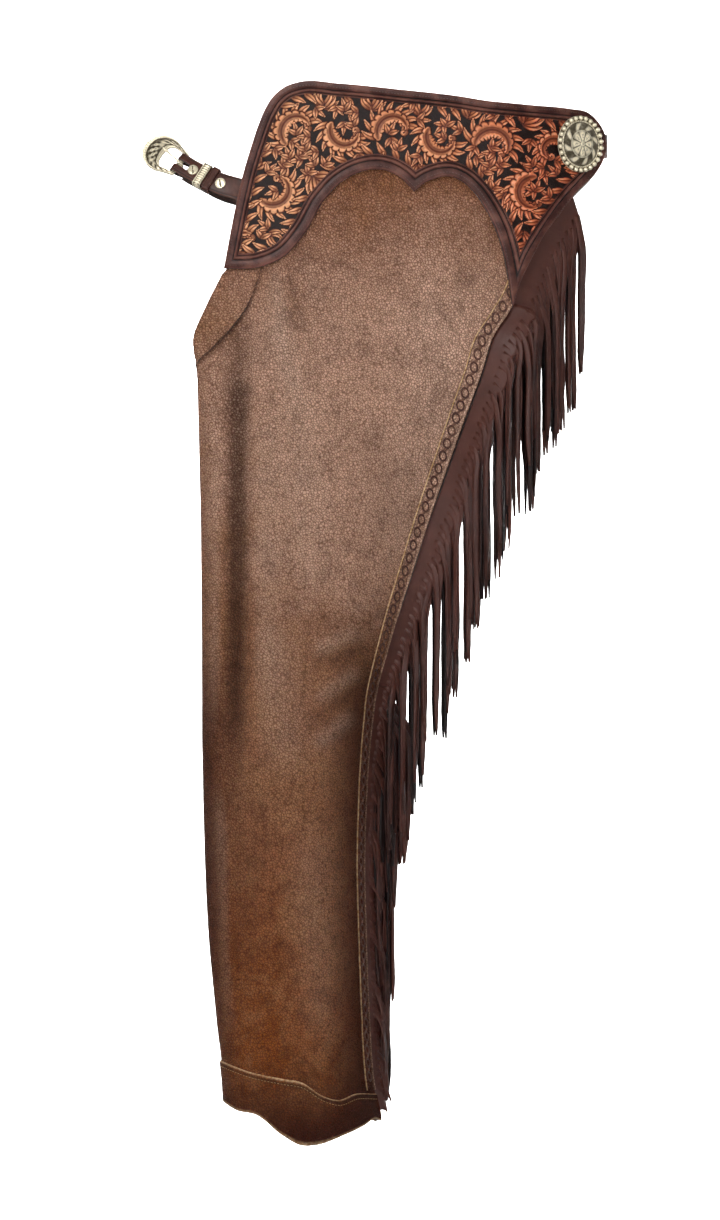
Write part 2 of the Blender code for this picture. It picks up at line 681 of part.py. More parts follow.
def yoke(side, collection):
    """The yoke's base, its ridged border and its inlay."""
    outer, inner = yoke_loops(side.border)
    inlay = moved_in(inner, 2 * SEAM_GAP)
    seat = YOKE_WALL + YOKE_SEAT_GAP
    hip_plate(f"yoke_base_{side.name}", outer, 0.0, YOKE_WALL, DARK_LEATHER, collection, side.sign)
    hip_plate(f"yoke_panel_{side.name}", inlay, seat, INLAY_WALL, TOOLED_LEATHER, collection, side.sign)
    shares = np.array([0, 0.25, 0.5, 0.75, 1.0])
    heights = np.array([BORDER_EDGE, BORDER_RIDGE, BORDER_GROOVE, BORDER_RIDGE, BORDER_EDGE])
    flat = outer[:, None] + (inner - outer)[:, None] * shares[None, :, None]
    over = hip_point(flat[..., 0], flat[..., 1], seat + heights)
    under = hip_point(flat[:, ::2, 0], flat[:, ::2, 1], seat)
    stations, columns = flat.shape[:2]
    below = under.shape[1]
    count = stations * columns
    faces = grid_faces(stations, columns, wrap_rows=True)
    faces += grid_faces(stations, below, wrap_rows=True, start=count)
    for j, k in ((0, 0), (columns - 1, below - 1)):
        ends = [(i * columns + j, count + below * i + k) for i in range(stations)]
        faces += [[a, b, d, c] for (a, c), (b, d) in zip(ends, ends[1:] + ends[:1])]
    points = np.concatenate([over.reshape(-1, 3), under.reshape(-1, 3)])
    face_outward(mesh_object(f"yoke_frame_{side.name}", points, faces, DARK_LEATHER, collection, side.sign))


def back_tab(collection):
    """The tab behind the two round ends that joins the yokes at the centre back."""
    inside = -(SEAM_GAP + 0.5 * LEG_WALL)
    half = [tuple(hip_point(np.array(x), np.array(0.0), inside)[:2]) for x in (150.0, 168.0, 186.0, 196.0)]
    plan = half + [(202.5, -8.0), (205.0, 0.0)]
    plan += [(x, -y) for x, y in plan[-2::-1]]
    line = resample(plan, 17)
    levels = np.array([-72.0, -48.0])
    points = np.stack(np.broadcast_arrays(line[:, None, 0], line[:, None, 1], levels[None, :]), -1)
    tab = mesh_object("back_tab", points, grid_faces(len(line), 2), DARK_LEATHER, collection)
    solidify(tab, LEG_WALL, 0.0)


# ---------------------------------------------------------------- metal on the yoke
def concho(side, collection):
    """A domed disc with a rim of beads, its back on the yoke's border."""
    x, z = CONCHO_CENTRE
    slope = float(hip_slope(np.array(x)))
    normal = Vector((slope, -1, 0)).normalized()
    centre = Vector(hip_point(np.array(x), np.array(z), YOKE_WALL + YOKE_SEAT_GAP + BORDER_RIDGE + SEAM_GAP))
    radii = np.array([0.0, 0.45, 0.80, 0.845, 0.925, 1.0, 1.0]) * CONCHO_RADIUS
    heights = np.array([5.6, 4.6, 2.0, 1.3, 3.4, 1.3, 0.0])
    around = 2 * CONCHO_BEADS
    angle = 2 * math.pi * np.arange(around) / around
    low = np.arange(around) % 2
    points = [[0, 0, heights[0]]]
    for radius, height in zip(radii[1:], heights[1:]):
        at_bead = height == 3.4
        out = radius - low * (1.0 if radius == CONCHO_RADIUS else 0)
        lift = height - (1.9 * low if at_bead else 0)
        ring = np.stack(np.broadcast_arrays(np.cos(angle) * out, np.sin(angle) * out, lift), -1)
        points += ring.tolist()
    rings = len(radii) - 1
    faces = [[0, 1 + k, 1 + (k + 1) % around] for k in range(around)]
    for r in range(rings - 1):
        a, b = 1 + r * around, 1 + (r + 1) * around
        faces += [[a + k, b + k, b + (k + 1) % around, a + (k + 1) % around] for k in range(around)]
    faces.append([1 + (rings - 1) * around + k for k in range(around)][::-1])
    sideways = Vector((0, 0, 1)).cross(normal).normalized()
    turn = Matrix((sideways, normal.cross(sideways), normal)).transposed()
    placed = [centre + turn @ Vector(point) for point in points]
    mesh_object(f"concho_{side.name}", placed, faces, SILVER, collection, side.sign)


# ---------------------------------------------------------------- the strap and its hardware
class StrapFrame:
    """The strap's middle line with its heading, its width direction (downward) and its outward direction."""

    def __init__(self):
        self.points = resample(STRAP_LINE, 61)
        self.heading = unit(np.gradient(self.points, axis=0))
        tilt = math.tan(STRAP_TILT) * ease(-self.points[:, 0], 160, 205)
        upright = np.stack([0 * tilt, tilt, 1 + 0 * tilt], 1)
        self.across = -unit(upright - self.heading * (upright * self.heading).sum(1, keepdims=True))
        self.outward = unit(np.cross(self.heading, self.across))

    def end(self):
        """Point, heading, across and outward at the fold round the buckle's bar."""
        return [data[-1] for data in (self.points, self.heading, self.across, self.outward)]

    def at(self, x):
        """Point, heading, across and outward at this x."""
        found = []
        for data in (self.points, self.heading, self.across, self.outward):
            found.append(np.array([np.interp(-x, -self.points[:, 0], data[:, c]) for c in range(3)]))
        return found


def matrix_at(frame, x, out):
    """A placing matrix in metres: local X runs along the strap, Y across it, Z out of it."""
    point, heading, across, outward = frame.at(x)
    place = Matrix.Translation(Vector(point + outward * out) * MM)
    turn = Matrix((Vector(heading), Vector(across), Vector(outward))).transposed()
    return place @ turn.to_4x4()


def buckle_strap(frame, collection):
    """The strap, folded round the buckle's bar with a slot for the tongue."""
    line = frame.points[::5]
    rows = [list(v) for v in (line, frame.across[::5])]
    end, heading, across, outward = frame.end()
    bar = end - outward * FOLD_RADIUS
    slot_rows = {len(line) - 2, len(line) - 1}
    for angle in np.linspace(0, math.pi, 9)[1:]:
        slot_rows.add(len(rows[0]) - 1)
        rows[0].append(bar + FOLD_RADIUS * (outward * math.cos(angle) + heading * math.sin(angle)))
        rows[1].append(across)
    slot_rows.add(len(rows[0]) - 1)
    back = [k for k in range(len(frame.points) - 2, -1, -5) if frame.points[k, 0] <= STRAP_RETURN_X]
    for k in back:
        away = np.linalg.norm(frame.points[k] - end)
        step = LAYER_STEP + (2 * FOLD_RADIUS - LAYER_STEP) * (1 - float(ease(away, 0, 17)))
        rows[0].append(frame.points[k] - frame.outward[k] * step)
        rows[1].append(frame.across[k])
    slot_rows.add(len(rows[0]) - len(back))
    middle, width = np.array(rows[0]), np.array(rows[1])
    offsets = np.array([-STRAP_WIDTH / 2, -TONGUE_SLOT, TONGUE_SLOT, STRAP_WIDTH / 2])
    points = middle[:, None] + width[:, None] * offsets[None, :, None]
    faces = []
    for i in range(len(middle) - 1):
        for j in range(3):
            if j == 1 and i in slot_rows:
                continue
            faces.append([4 * i + j, 4 * i + j + 1, 4 * i + j + 5, 4 * i + j + 4])
    solidify(mesh_object("strap_L", points, faces, DARK_LEATHER, collection), STRAP_WALL, 0.0)
    return bar


def billet(frame, collection, cutters):
    """The right side's strap, a single layer with buckle holes."""
    line = frame.points[:56:5]
    across = frame.across[:56:5]
    points = line[:, None] + across[:, None] * np.array([-0.5, 0.5])[None, :, None] * STRAP_WIDTH
    strap = mesh_object("strap_R", points, grid_faces(len(line), 2), DARK_LEATHER, collection, -1)
    solidify(strap, STRAP_WALL, 0.0)
    for n, x in enumerate(BILLET_HOLES):
        point, heading, width, outward = frame.at(x)
        mirrored = Vector((outward[0], -outward[1], outward[2]))
        hole = cylinder(f"billet_hole_{n}", 2.2, 2.2, 12.0, 12, None, cutters)
        hole.matrix_world = (Matrix.Translation(Vector((point[0], -point[1], point[2])) * MM)
                             @ mirrored.to_track_quat("Z", "Y").to_matrix().to_4x4())
        hole.hide_render = True
        hole.display_type = "WIRE"
        cut = strap.modifiers.new(f"hole_{n}", "BOOLEAN")
        cut.operation = "DIFFERENCE"
        cut.object = hole


def cylinder(name, low_radius, high_radius, depth, sides, look, collection):
    """A capped cylinder or cone about its own Z, in mm."""
    net = bmesh.new()
    bmesh.ops.create_cone(net, cap_ends=True, segments=sides, radius1=low_radius * MM,
                          radius2=high_radius * MM, depth=depth * MM)
    mesh = bpy.data.meshes.new(name)
    net.to_mesh(mesh)
    net.free()
    obj = bpy.data.objects.new(name, mesh)
    if look:
        return finish(obj, look, collection)
    collection.objects.link(obj)
    return obj


def strap_fittings(frame, collection):
    """Two flat screws, the leather loop and the metal keeper on the buckle strap."""
    for name in ("screw_1", "screw_2"):
        head = cylinder(name, 5.5, 4.7, 1.8, 20, SILVER, collection)
        head.matrix_world = matrix_at(frame, STRAP_FITTINGS[name], STRAP_WALL / 2 + SEAM_GAP + 0.9)
    bands = (("loop", DARK_LEATHER, 7.0, 0.9, 1.8), ("keeper", SILVER, 8.4, 1.6, 1.5))
    for name, look, length, room, wall in bands:
        half_y = STRAP_WIDTH / 2 + BAND_ROOM
        front = 0.5 * STRAP_WALL + room
        back = -(LAYER_STEP + 0.5 * STRAP_WALL + BAND_ROOM)
        corners = [(half_y, front), (-half_y, front), (-half_y, back), (half_y, back)]
        points = [(end * length / 2, y, z) for end in (-1, 1) for y, z in corners]
        faces = [[k, (k + 1) % 4, 4 + (k + 1) % 4, 4 + k] for k in range(4)]
        band = mesh_object(name, points, faces, look, collection)
        band.matrix_world = matrix_at(frame, STRAP_FITTINGS[name], 0.0)
        solidify(band, wall).modifiers["wall"].use_even_offset = True


def buckle(frame, bar, collection):
    """The buckle's plate with its window and bar, and the tongue, each about the bar's axis."""
    _, heading, across, outward = frame.end()
    turn = Matrix((Vector(heading), Vector(across), Vector(outward))).transposed().to_4x4()
    place = Matrix.Translation(Vector(bar) * MM) @ turn
    plate = bpy.data.curves.new("buckle", "CURVE")
    plate.dimensions = "2D"
    plate.fill_mode = "BOTH"
    plate.extrude = BUCKLE_WALL / 2 * MM
    for outline, count in ((BUCKLE_OUTLINE, 15), (BUCKLE_WINDOW, 11)):
        half = resample(outline, count)
        closed = np.vstack([half, (half * (1, -1))[-2::-1]])
        spline = plate.splines.new("POLY")
        spline.points.add(len(closed) - 1)
        level, weight = np.zeros(len(closed)), np.ones(len(closed))
        spline.points.foreach_set("co", np.column_stack([closed * MM, level, weight]).ravel())
        spline.use_cyclic_u = True
    obj = finish(bpy.data.objects.new("buckle", plate), SILVER, collection)
    obj.matrix_world = place

    angles = np.radians(np.linspace(-20, -270, 13))
    hook = TONGUE_TURN * np.stack([np.cos(angles), 0 * angles, np.sin(angles)], 1)
    x = np.array([4.0, 10.0, 17.0, TONGUE_LENGTH])
    pin = np.stack([x, 0 * x, TONGUE_TURN - TONGUE_DROP * ease(x, 0, TONGUE_LENGTH)], 1)
    route = np.vstack([hook, pin])
    wire = bpy.data.curves.new("tongue", "CURVE")
    wire.dimensions = "3D"
    wire.bevel_depth = TONGUE_WIRE * MM
    wire.bevel_resolution = 1
    wire.use_fill_caps = True
    spline = wire.splines.new("POLY")
    spline.points.add(len(route) - 1)
    spline.points.foreach_set("co", np.column_stack([route * MM, np.ones(len(route))]).ravel())
    tongue = finish(bpy.data.objects.new("tongue", wire), SILVER, collection)
    tongue.matrix_world = place @ Matrix.Rotation(-TONGUE_LIFT, 4, "Y")


# ---------------------------------------------------------------- the whole pair
def build():
    for obj in list(bpy.data.objects):
        bpy.data.objects.remove(obj, do_unlink=True)
    parts = bpy.data.collections.new("leather_chaps")
    cutters = bpy.data.collections.new("cutters")
    for collection in (parts, cutters):
        bpy.context.scene.collection.children.link(collection)
    for side in SIDES:
        walls = leg_panels(side, parts)
        braid(side, walls["front"], parts)
        hem_bands(side, walls, parts)
        yoke(side, parts)
        hip_fringe(side, parts)
        seam_fringe(side, "thigh", THIGH_FRINGE, side.strand_pitch, parts)
        seam_fringe(side, "shin", SHIN_FRINGE, side.strand_pitch * 1.5, parts)
        concho(side, parts)
    back_tab(parts)
    frame = StrapFrame()
    bar = buckle_strap(frame, parts)
    billet(frame, parts, cutters)
    strap_fittings(frame, parts)
    buckle(frame, bar, parts)


build()
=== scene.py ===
"""Leather show chaps: the finish and the fine form of every piece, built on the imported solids.

Sizes and places are in millimetres and become metres where a mesh is made. +X points to the centre
back, -Y to the wearer's left, +Z up. The right leg is the left one's mirror image in the plane Y = 0.
"""

from __future__ import annotations

import logging
import math
import sys
from dataclasses import dataclass, field
from enum import Enum
from typing import Iterable, Sequence

import bmesh
import bpy
import numpy as np
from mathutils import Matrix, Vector

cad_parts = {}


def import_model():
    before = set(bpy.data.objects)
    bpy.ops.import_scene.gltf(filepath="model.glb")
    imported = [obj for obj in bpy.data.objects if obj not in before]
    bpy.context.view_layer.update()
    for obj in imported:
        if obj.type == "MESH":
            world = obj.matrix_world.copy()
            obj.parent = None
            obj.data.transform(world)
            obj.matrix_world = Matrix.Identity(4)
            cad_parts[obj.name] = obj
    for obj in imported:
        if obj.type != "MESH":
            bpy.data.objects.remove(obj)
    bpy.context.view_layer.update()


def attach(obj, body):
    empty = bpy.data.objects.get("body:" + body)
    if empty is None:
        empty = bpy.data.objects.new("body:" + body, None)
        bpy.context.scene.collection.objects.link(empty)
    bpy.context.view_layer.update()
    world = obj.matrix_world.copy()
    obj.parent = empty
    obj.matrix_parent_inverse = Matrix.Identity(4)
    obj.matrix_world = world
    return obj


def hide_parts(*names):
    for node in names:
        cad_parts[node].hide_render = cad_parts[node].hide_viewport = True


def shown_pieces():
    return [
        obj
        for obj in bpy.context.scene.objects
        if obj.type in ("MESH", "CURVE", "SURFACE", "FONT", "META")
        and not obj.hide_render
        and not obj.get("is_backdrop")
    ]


LOG = logging.getLogger("chaps")
MM = 0.001
Array = np.ndarray
Piece = bpy.types.Object
Paint = bpy.types.Material


class Side(Enum):
    """The two halves of the pair: the built one and its mirror image."""

    LEFT = "L"
    RIGHT = "R"

    @property
    def sign(self) -> int:
        """1 on the left, -1 where Y is mirrored."""
        return 1 if self is Side.LEFT else -1


# ---------------------------------------------------------------- numbers and lines
def ease(value: Array, start: float, end: float) -> Array:
    """Smooth step from 0 at start to 1 at end: 3t^2 - 2t^3."""
    t = np.clip((np.asarray(value, float) - start) / (end - start), 0, 1)
    return t * t * (3 - 2 * t)


def unit(vectors: Array) -> Array:
    """Vectors scaled to length 1."""
    return vectors / np.maximum(np.linalg.norm(vectors, axis=-1, keepdims=True), 1e-12)


def through(table: Iterable[Sequence[float]], at: Array) -> Array:
    """A smooth cubic through rows (key, value), level beyond its ends.

    Args:
        table: The rows, in any order.
        at: The keys to read.

    Returns:
        The values at those keys.
    """
    rows = np.array(sorted(table), float)
    keys, values = rows[:, 0], rows[:, 1]
    slopes = np.gradient(values, keys)
    at = np.clip(at, keys[0], keys[-1])
    i = np.clip(np.searchsorted(keys, at, side="right") - 1, 0, len(keys) - 2)
    step = keys[i + 1] - keys[i]
    t = (at - keys[i]) / step
    rise = (t**3 - 2 * t**2 + t) * slopes[i] + (t**3 - t**2) * slopes[i + 1]
    return (2 * t**3 - 3 * t**2 + 1) * values[i] + (3 * t**2 - 2 * t**3) * values[i + 1] + rise * step


def mirrored(half: Sequence[float], sign: float = 1.0, once: bool = True) -> Array:
    """A table and its mirror image times sign; where once is set the middle number stands once."""
    return np.concatenate([half, sign * np.array(half[::-1])[int(once):]])


def run_along(points: Array) -> Array:
    """The distance along a line at each of its points."""
    return np.concatenate([[0], np.cumsum(np.linalg.norm(np.diff(points, axis=0), axis=1))])


def sample(data: Array, run: Array, at: Array) -> Array:
    """Rows of data that are known at run, read at other places on it."""
    return np.stack([np.interp(at, run, column) for column in data.T], -1)


def read_line(points: Array, distance: Array) -> Array:
    """Points of a line at distances along it."""
    return sample(points, run_along(points), distance)


def resample(points: Sequence, count: int) -> Array:
    """A line of evenly spaced points on the cubic through the given ones.

    Args:
        points: The points that the line passes.
        count: How many points it gets.

    Returns:
        An array of count rows.
    """
    points = np.array(points, float)
    run = run_along(points)
    fine = np.linspace(0, run[-1], 60 * len(points))
    line = np.stack([through(list(zip(run, column)), fine) for column in points.T], 1)
    return read_line(line, np.linspace(0, run_along(line)[-1], count))


def noise(seed: int, *coordinates: Array, octaves: int = 3) -> Array:
    """A smooth uneven field from -1 to 1: a sum of sines with seeded headings and phases.

    Args:
        seed: Picks the field.
        coordinates: Arrays of one shape, in units of the field's size.
        octaves: How many halvings of size are added.

    Returns:
        The field's values.
    """
    draw = np.random.default_rng(seed)
    total, weight = np.zeros(np.broadcast(*coordinates).shape), 0.0
    for octave in range(octaves):
        for _ in range(5):
            heading = draw.normal(size=len(coordinates))
            heading *= (2.0**octave) * 2.2 / np.linalg.norm(heading)
            phase = draw.uniform(0, 2 * math.pi)
            total = total + 0.55**octave * np.sin(sum(h * c for h, c in zip(heading, coordinates)) + phase)
        weight += 0.55**octave
    return total / (2.2 * weight)


# ---------------------------------------------------------------- meshes
def grid_quads(rows: int, columns: int, ring: bool = False, closed_rows: bool = False) -> Array:
    """The quads of a grid stored row by row.

    Args:
        rows: Rows of points.
        columns: Points in a row.
        ring: Whether each row closes on itself.
        closed_rows: Whether the last row joins the first.

    Returns:
        An array of quads, each four indices.
    """
    i = np.arange(rows if closed_rows else rows - 1)
    j = np.arange(columns if ring else columns - 1)
    i, j = (a.ravel() for a in np.meshgrid(i, j, indexing="ij"))
    below, beside = (i + 1) % rows, (j + 1) % columns
    return np.stack([i * columns + j, i * columns + beside, below * columns + beside, below * columns + j], 1)


def make_mesh(name: str, points: Array, quads: Array, side: Side = Side.LEFT,
              values: dict[str, Array] | None = None) -> Piece:
    """A smooth mesh object in place, from points in mm.

    Args:
        name: The object's name, without the side's letter.
        points: Rows of x, y, z.
        quads: Rows of four indices, facing out on the left side.
        side: RIGHT mirrors Y and turns the quads round.
        values: Named numbers, one for each point, that finishes read.

    Returns:
        The linked object, at the origin.
    """
    points = np.asarray(points, float).reshape(-1, 3) * (1, side.sign, 1) * MM
    quads = np.asarray(quads).reshape(-1, 4)[:, :: side.sign]
    mesh = bpy.data.meshes.new(name)
    mesh.vertices.add(len(points))
    mesh.vertices.foreach_set("co", points.astype(np.float32).ravel())
    mesh.loops.add(quads.size)
    mesh.loops.foreach_set("vertex_index", quads.astype(np.int32).ravel())
    mesh.polygons.add(len(quads))
    mesh.polygons.foreach_set("loop_start", np.arange(0, quads.size, 4, dtype=np.int32))
    mesh.polygons.foreach_set("use_smooth", np.ones(len(quads), bool))
    mesh.update(calc_edges=True)
    for key, numbers in (values or {}).items():
        layer = mesh.attributes.new(key, "FLOAT", "POINT")
        layer.data.foreach_set("value", np.broadcast_to(numbers, len(points)).astype(np.float32).ravel())
    mesh.validate()
    obj = bpy.data.objects.new(name, mesh)
    bpy.context.scene.collection.objects.link(obj)
    return obj


def sheet_mesh(name: str, grid: Array, side: Side, values: dict[str, Array] | None = None,
               turned: bool = False) -> Piece:
    """An open sheet from a grid of points, rows by columns by 3. It faces along columns x rows, or the
    other way where it is turned."""
    flat = {key: np.broadcast_to(numbers, grid.shape[:2]).ravel() for key, numbers in (values or {}).items()}
    quads = grid_quads(*grid.shape[:2])
    return make_mesh(name, grid, quads[:, ::-1] if turned else quads, side, flat)


def many(name: str, shape: Array, quads: Array, centres: Array, axes: Array, side: Side,
         values: dict[str, Array] | None = None) -> Piece:
    """One mesh of many copies of a small shape: each point is centre + shape @ axes.

    Args:
        name: The object's name.
        shape: The small shape's points.
        quads: Its quads.
        centres: A place for each copy.
        axes: A 3 by 3 matrix for each copy, whose rows are the shape's x, y and z directions.
        side: The side of the pair.
        values: Named numbers, one for each copy.

    Returns:
        The object.
    """
    points = centres[:, None] + np.einsum("ij,njk->nik", shape, axes)
    faces = quads[None] + np.arange(len(centres))[:, None, None] * len(shape)
    spread = {key: np.repeat(numbers, len(shape)) for key, numbers in (values or {}).items()}
    return make_mesh(name, points, faces, side, spread)


def ball(rows: int, columns: int) -> tuple[Array, Array]:
    """A unit ball: rows of cos(a) sin(b), sin(a) sin(b), cos(b), almost closed at its poles."""
    b = np.linspace(0.02, math.pi - 0.02, rows)[:, None]
    a = (2 * math.pi * np.arange(columns) / columns)[None]
    grid = np.stack(np.broadcast_arrays(np.cos(a) * np.sin(b), np.sin(a) * np.sin(b), np.cos(b)), -1)
    return grid.reshape(-1, 3), grid_quads(rows, columns, ring=True)[:, ::-1]


def link(slim: float = 0.26, rows: int = 14, columns: int = 5) -> tuple[Array, Array]:
    """A unit ring in its own plane: ((1 + slim cos b) cos a, (1 + slim cos b) sin a, sin b)."""
    a = (2 * math.pi * np.arange(rows) / rows)[:, None]
    b = (2 * math.pi * np.arange(columns) / columns)[None]
    grid = np.stack(np.broadcast_arrays((1 + slim * np.cos(b)) * np.cos(a), (1 + slim * np.cos(b)) * np.sin(a),
                                        np.sin(b)), -1)
    return grid.reshape(-1, 3), grid_quads(rows, columns, ring=True, closed_rows=True)


def rod(name: str, path: Array, upright: Array, radius: Array, around: int = 18) -> Piece:
    """A round rod with closed ends along a flat path: path + radius (upright cos a + sideways sin a).

    Args:
        name: The object's name.
        path: The middle line's points, all in one plane.
        upright: That plane's normal.
        radius: The rod's radius at each point.
        around: Points round it.

    Returns:
        The object.
    """
    angle = (2 * math.pi * np.arange(around) / around)[:, None]
    sideways = np.cross(unit(np.gradient(path, axis=0)), upright)
    path, sideways = (np.concatenate([a[:1], a, a[-1:]]) for a in (path, sideways))
    ring = upright * np.cos(angle) + sideways[:, None] * np.sin(angle)
    points = path[:, None] + ring * np.concatenate([[1e-3], radius, [1e-3]])[:, None, None]
    return make_mesh(name, points, grid_quads(len(path), around, ring=True), Side.LEFT, {"crest": np.array(0.9)})


def hand_over(obj: Piece, slot: str, paints: Sequence[Paint], *nodes: str, wall: float = 0.0,
              offset: float = -1.0, body: str = "chaps") -> Piece:
    """Paints a mesh, gives a sheet its wall, parents it to its body's empty, and hides the solids that it stands for.

    Args:
        obj: The mesh object.
        slot: A name for what it is made of; not used.
        paints: The face's material, and on a sheet its back's and its rim's.
        nodes: The solids that it stands for.
        wall: A sheet's thickness in mm, or 0 for a closed shape.
        offset: Where the wall grows, from -1 for inward to 1 for outward.
        body: The body that it rides.

    Returns:
        The object.
    """
    for paint in paints:
        obj.data.materials.append(paint)
    if wall:
        solid = obj.modifiers.new("wall", "SOLIDIFY")
        solid.thickness, solid.offset = wall * MM, offset
        solid.material_offset = min(1, len(paints) - 1)
        solid.material_offset_rim = min(2, len(paints) - 1)
    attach(obj, body)
    if nodes:
        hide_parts(*nodes)
    return obj


def stitches(name: str, path: Array, out: Array, side: Side, pitch: float = 3.4, length: float = 2.5,
             girth: float = 0.55) -> Piece:
    """A row of thread stitches, each a small sunk ellipsoid along the path.

    Args:
        name: The object's name.
        path: The stitch line's points, on the surface.
        out: The surface's outward direction at each of them.
        side: The side of the pair.
        pitch: From stitch to stitch, in mm.
        length: A stitch's length.
        girth: A stitch's thickness.

    Returns:
        The object.
    """
    run = run_along(path)
    at = np.arange(pitch / 2, run[-1] - pitch / 2, pitch)
    centre = read_line(path, at)
    along = unit(read_line(path, at + 0.3) - read_line(path, at - 0.3))
    normal = unit(sample(out, run, at))
    normal = unit(normal - along * (normal * along).sum(1, keepdims=True))
    across = np.cross(normal, along)
    shape, quads = ball(4, 5)
    axes = np.stack([along * length / 2, across * girth / 2, normal * girth / 2], 1)
    return many(name, shape[:, (2, 0, 1)], quads, centre + normal * 0.1, axes, side)


# ---------------------------------------------------------------- shader building
class Value:
    """A shader socket that takes part in arithmetic; each operator adds one Math node."""

    def __init__(self, tree: bpy.types.NodeTree, socket: bpy.types.NodeSocket) -> None:
        """Wraps a socket of the tree."""
        self.tree, self.socket = tree, socket

    def _math(self, operation: str, *inputs: "Value | float") -> "Value":
        """A Math node with these inputs."""
        node = self.tree.nodes.new("ShaderNodeMath")
        node.operation = operation
        for n, given in enumerate(inputs):
            if isinstance(given, Value):
                self.tree.links.new(given.socket, node.inputs[n])
            else:
                node.inputs[n].default_value = float(given)
        return Value(self.tree, node.outputs[0])

    def __add__(self, other: "Value | float") -> "Value":
        """self + other."""
        return self._math("ADD", self, other)

    def __radd__(self, other: float) -> "Value":
        """other + self."""
        return self._math("ADD", other, self)

    def __sub__(self, other: "Value | float") -> "Value":
        """self - other."""
        return self._math("SUBTRACT", self, other)

    def __rsub__(self, other: float) -> "Value":
        """other - self."""
        return self._math("SUBTRACT", other, self)

    def __mul__(self, other: "Value | float") -> "Value":
        """self * other."""
        return self._math("MULTIPLY", self, other)

    def __rmul__(self, other: float) -> "Value":
        """other * self."""
        return self._math("MULTIPLY", other, self)

    def absolute(self) -> "Value":
        """self without its sign."""
        return self._math("ABSOLUTE", self)

    def step(self, low: float, high: float) -> "Value":
        """0 below low, 1 above high, smooth between."""
        node = self.tree.nodes.new("ShaderNodeMapRange")
        node.interpolation_type = "SMOOTHSTEP"
        self.tree.links.new(self.socket, node.inputs[0])
        for n, number in enumerate((low, high, 0.0, 1.0), 1):
            node.inputs[n].default_value = number
        return Value(self.tree, node.outputs[0])


Colour = tuple[float, float, float]


def srgb(red: float, green: float, blue: float) -> Colour:
    """A display colour of 0 to 255 as the linear numbers that shaders take."""
    return tuple(c / 12.92 if c <= 0.04045 else ((c + 0.055) / 1.055) ** 2.4
                 for c in (red / 255, green / 255, blue / 255))


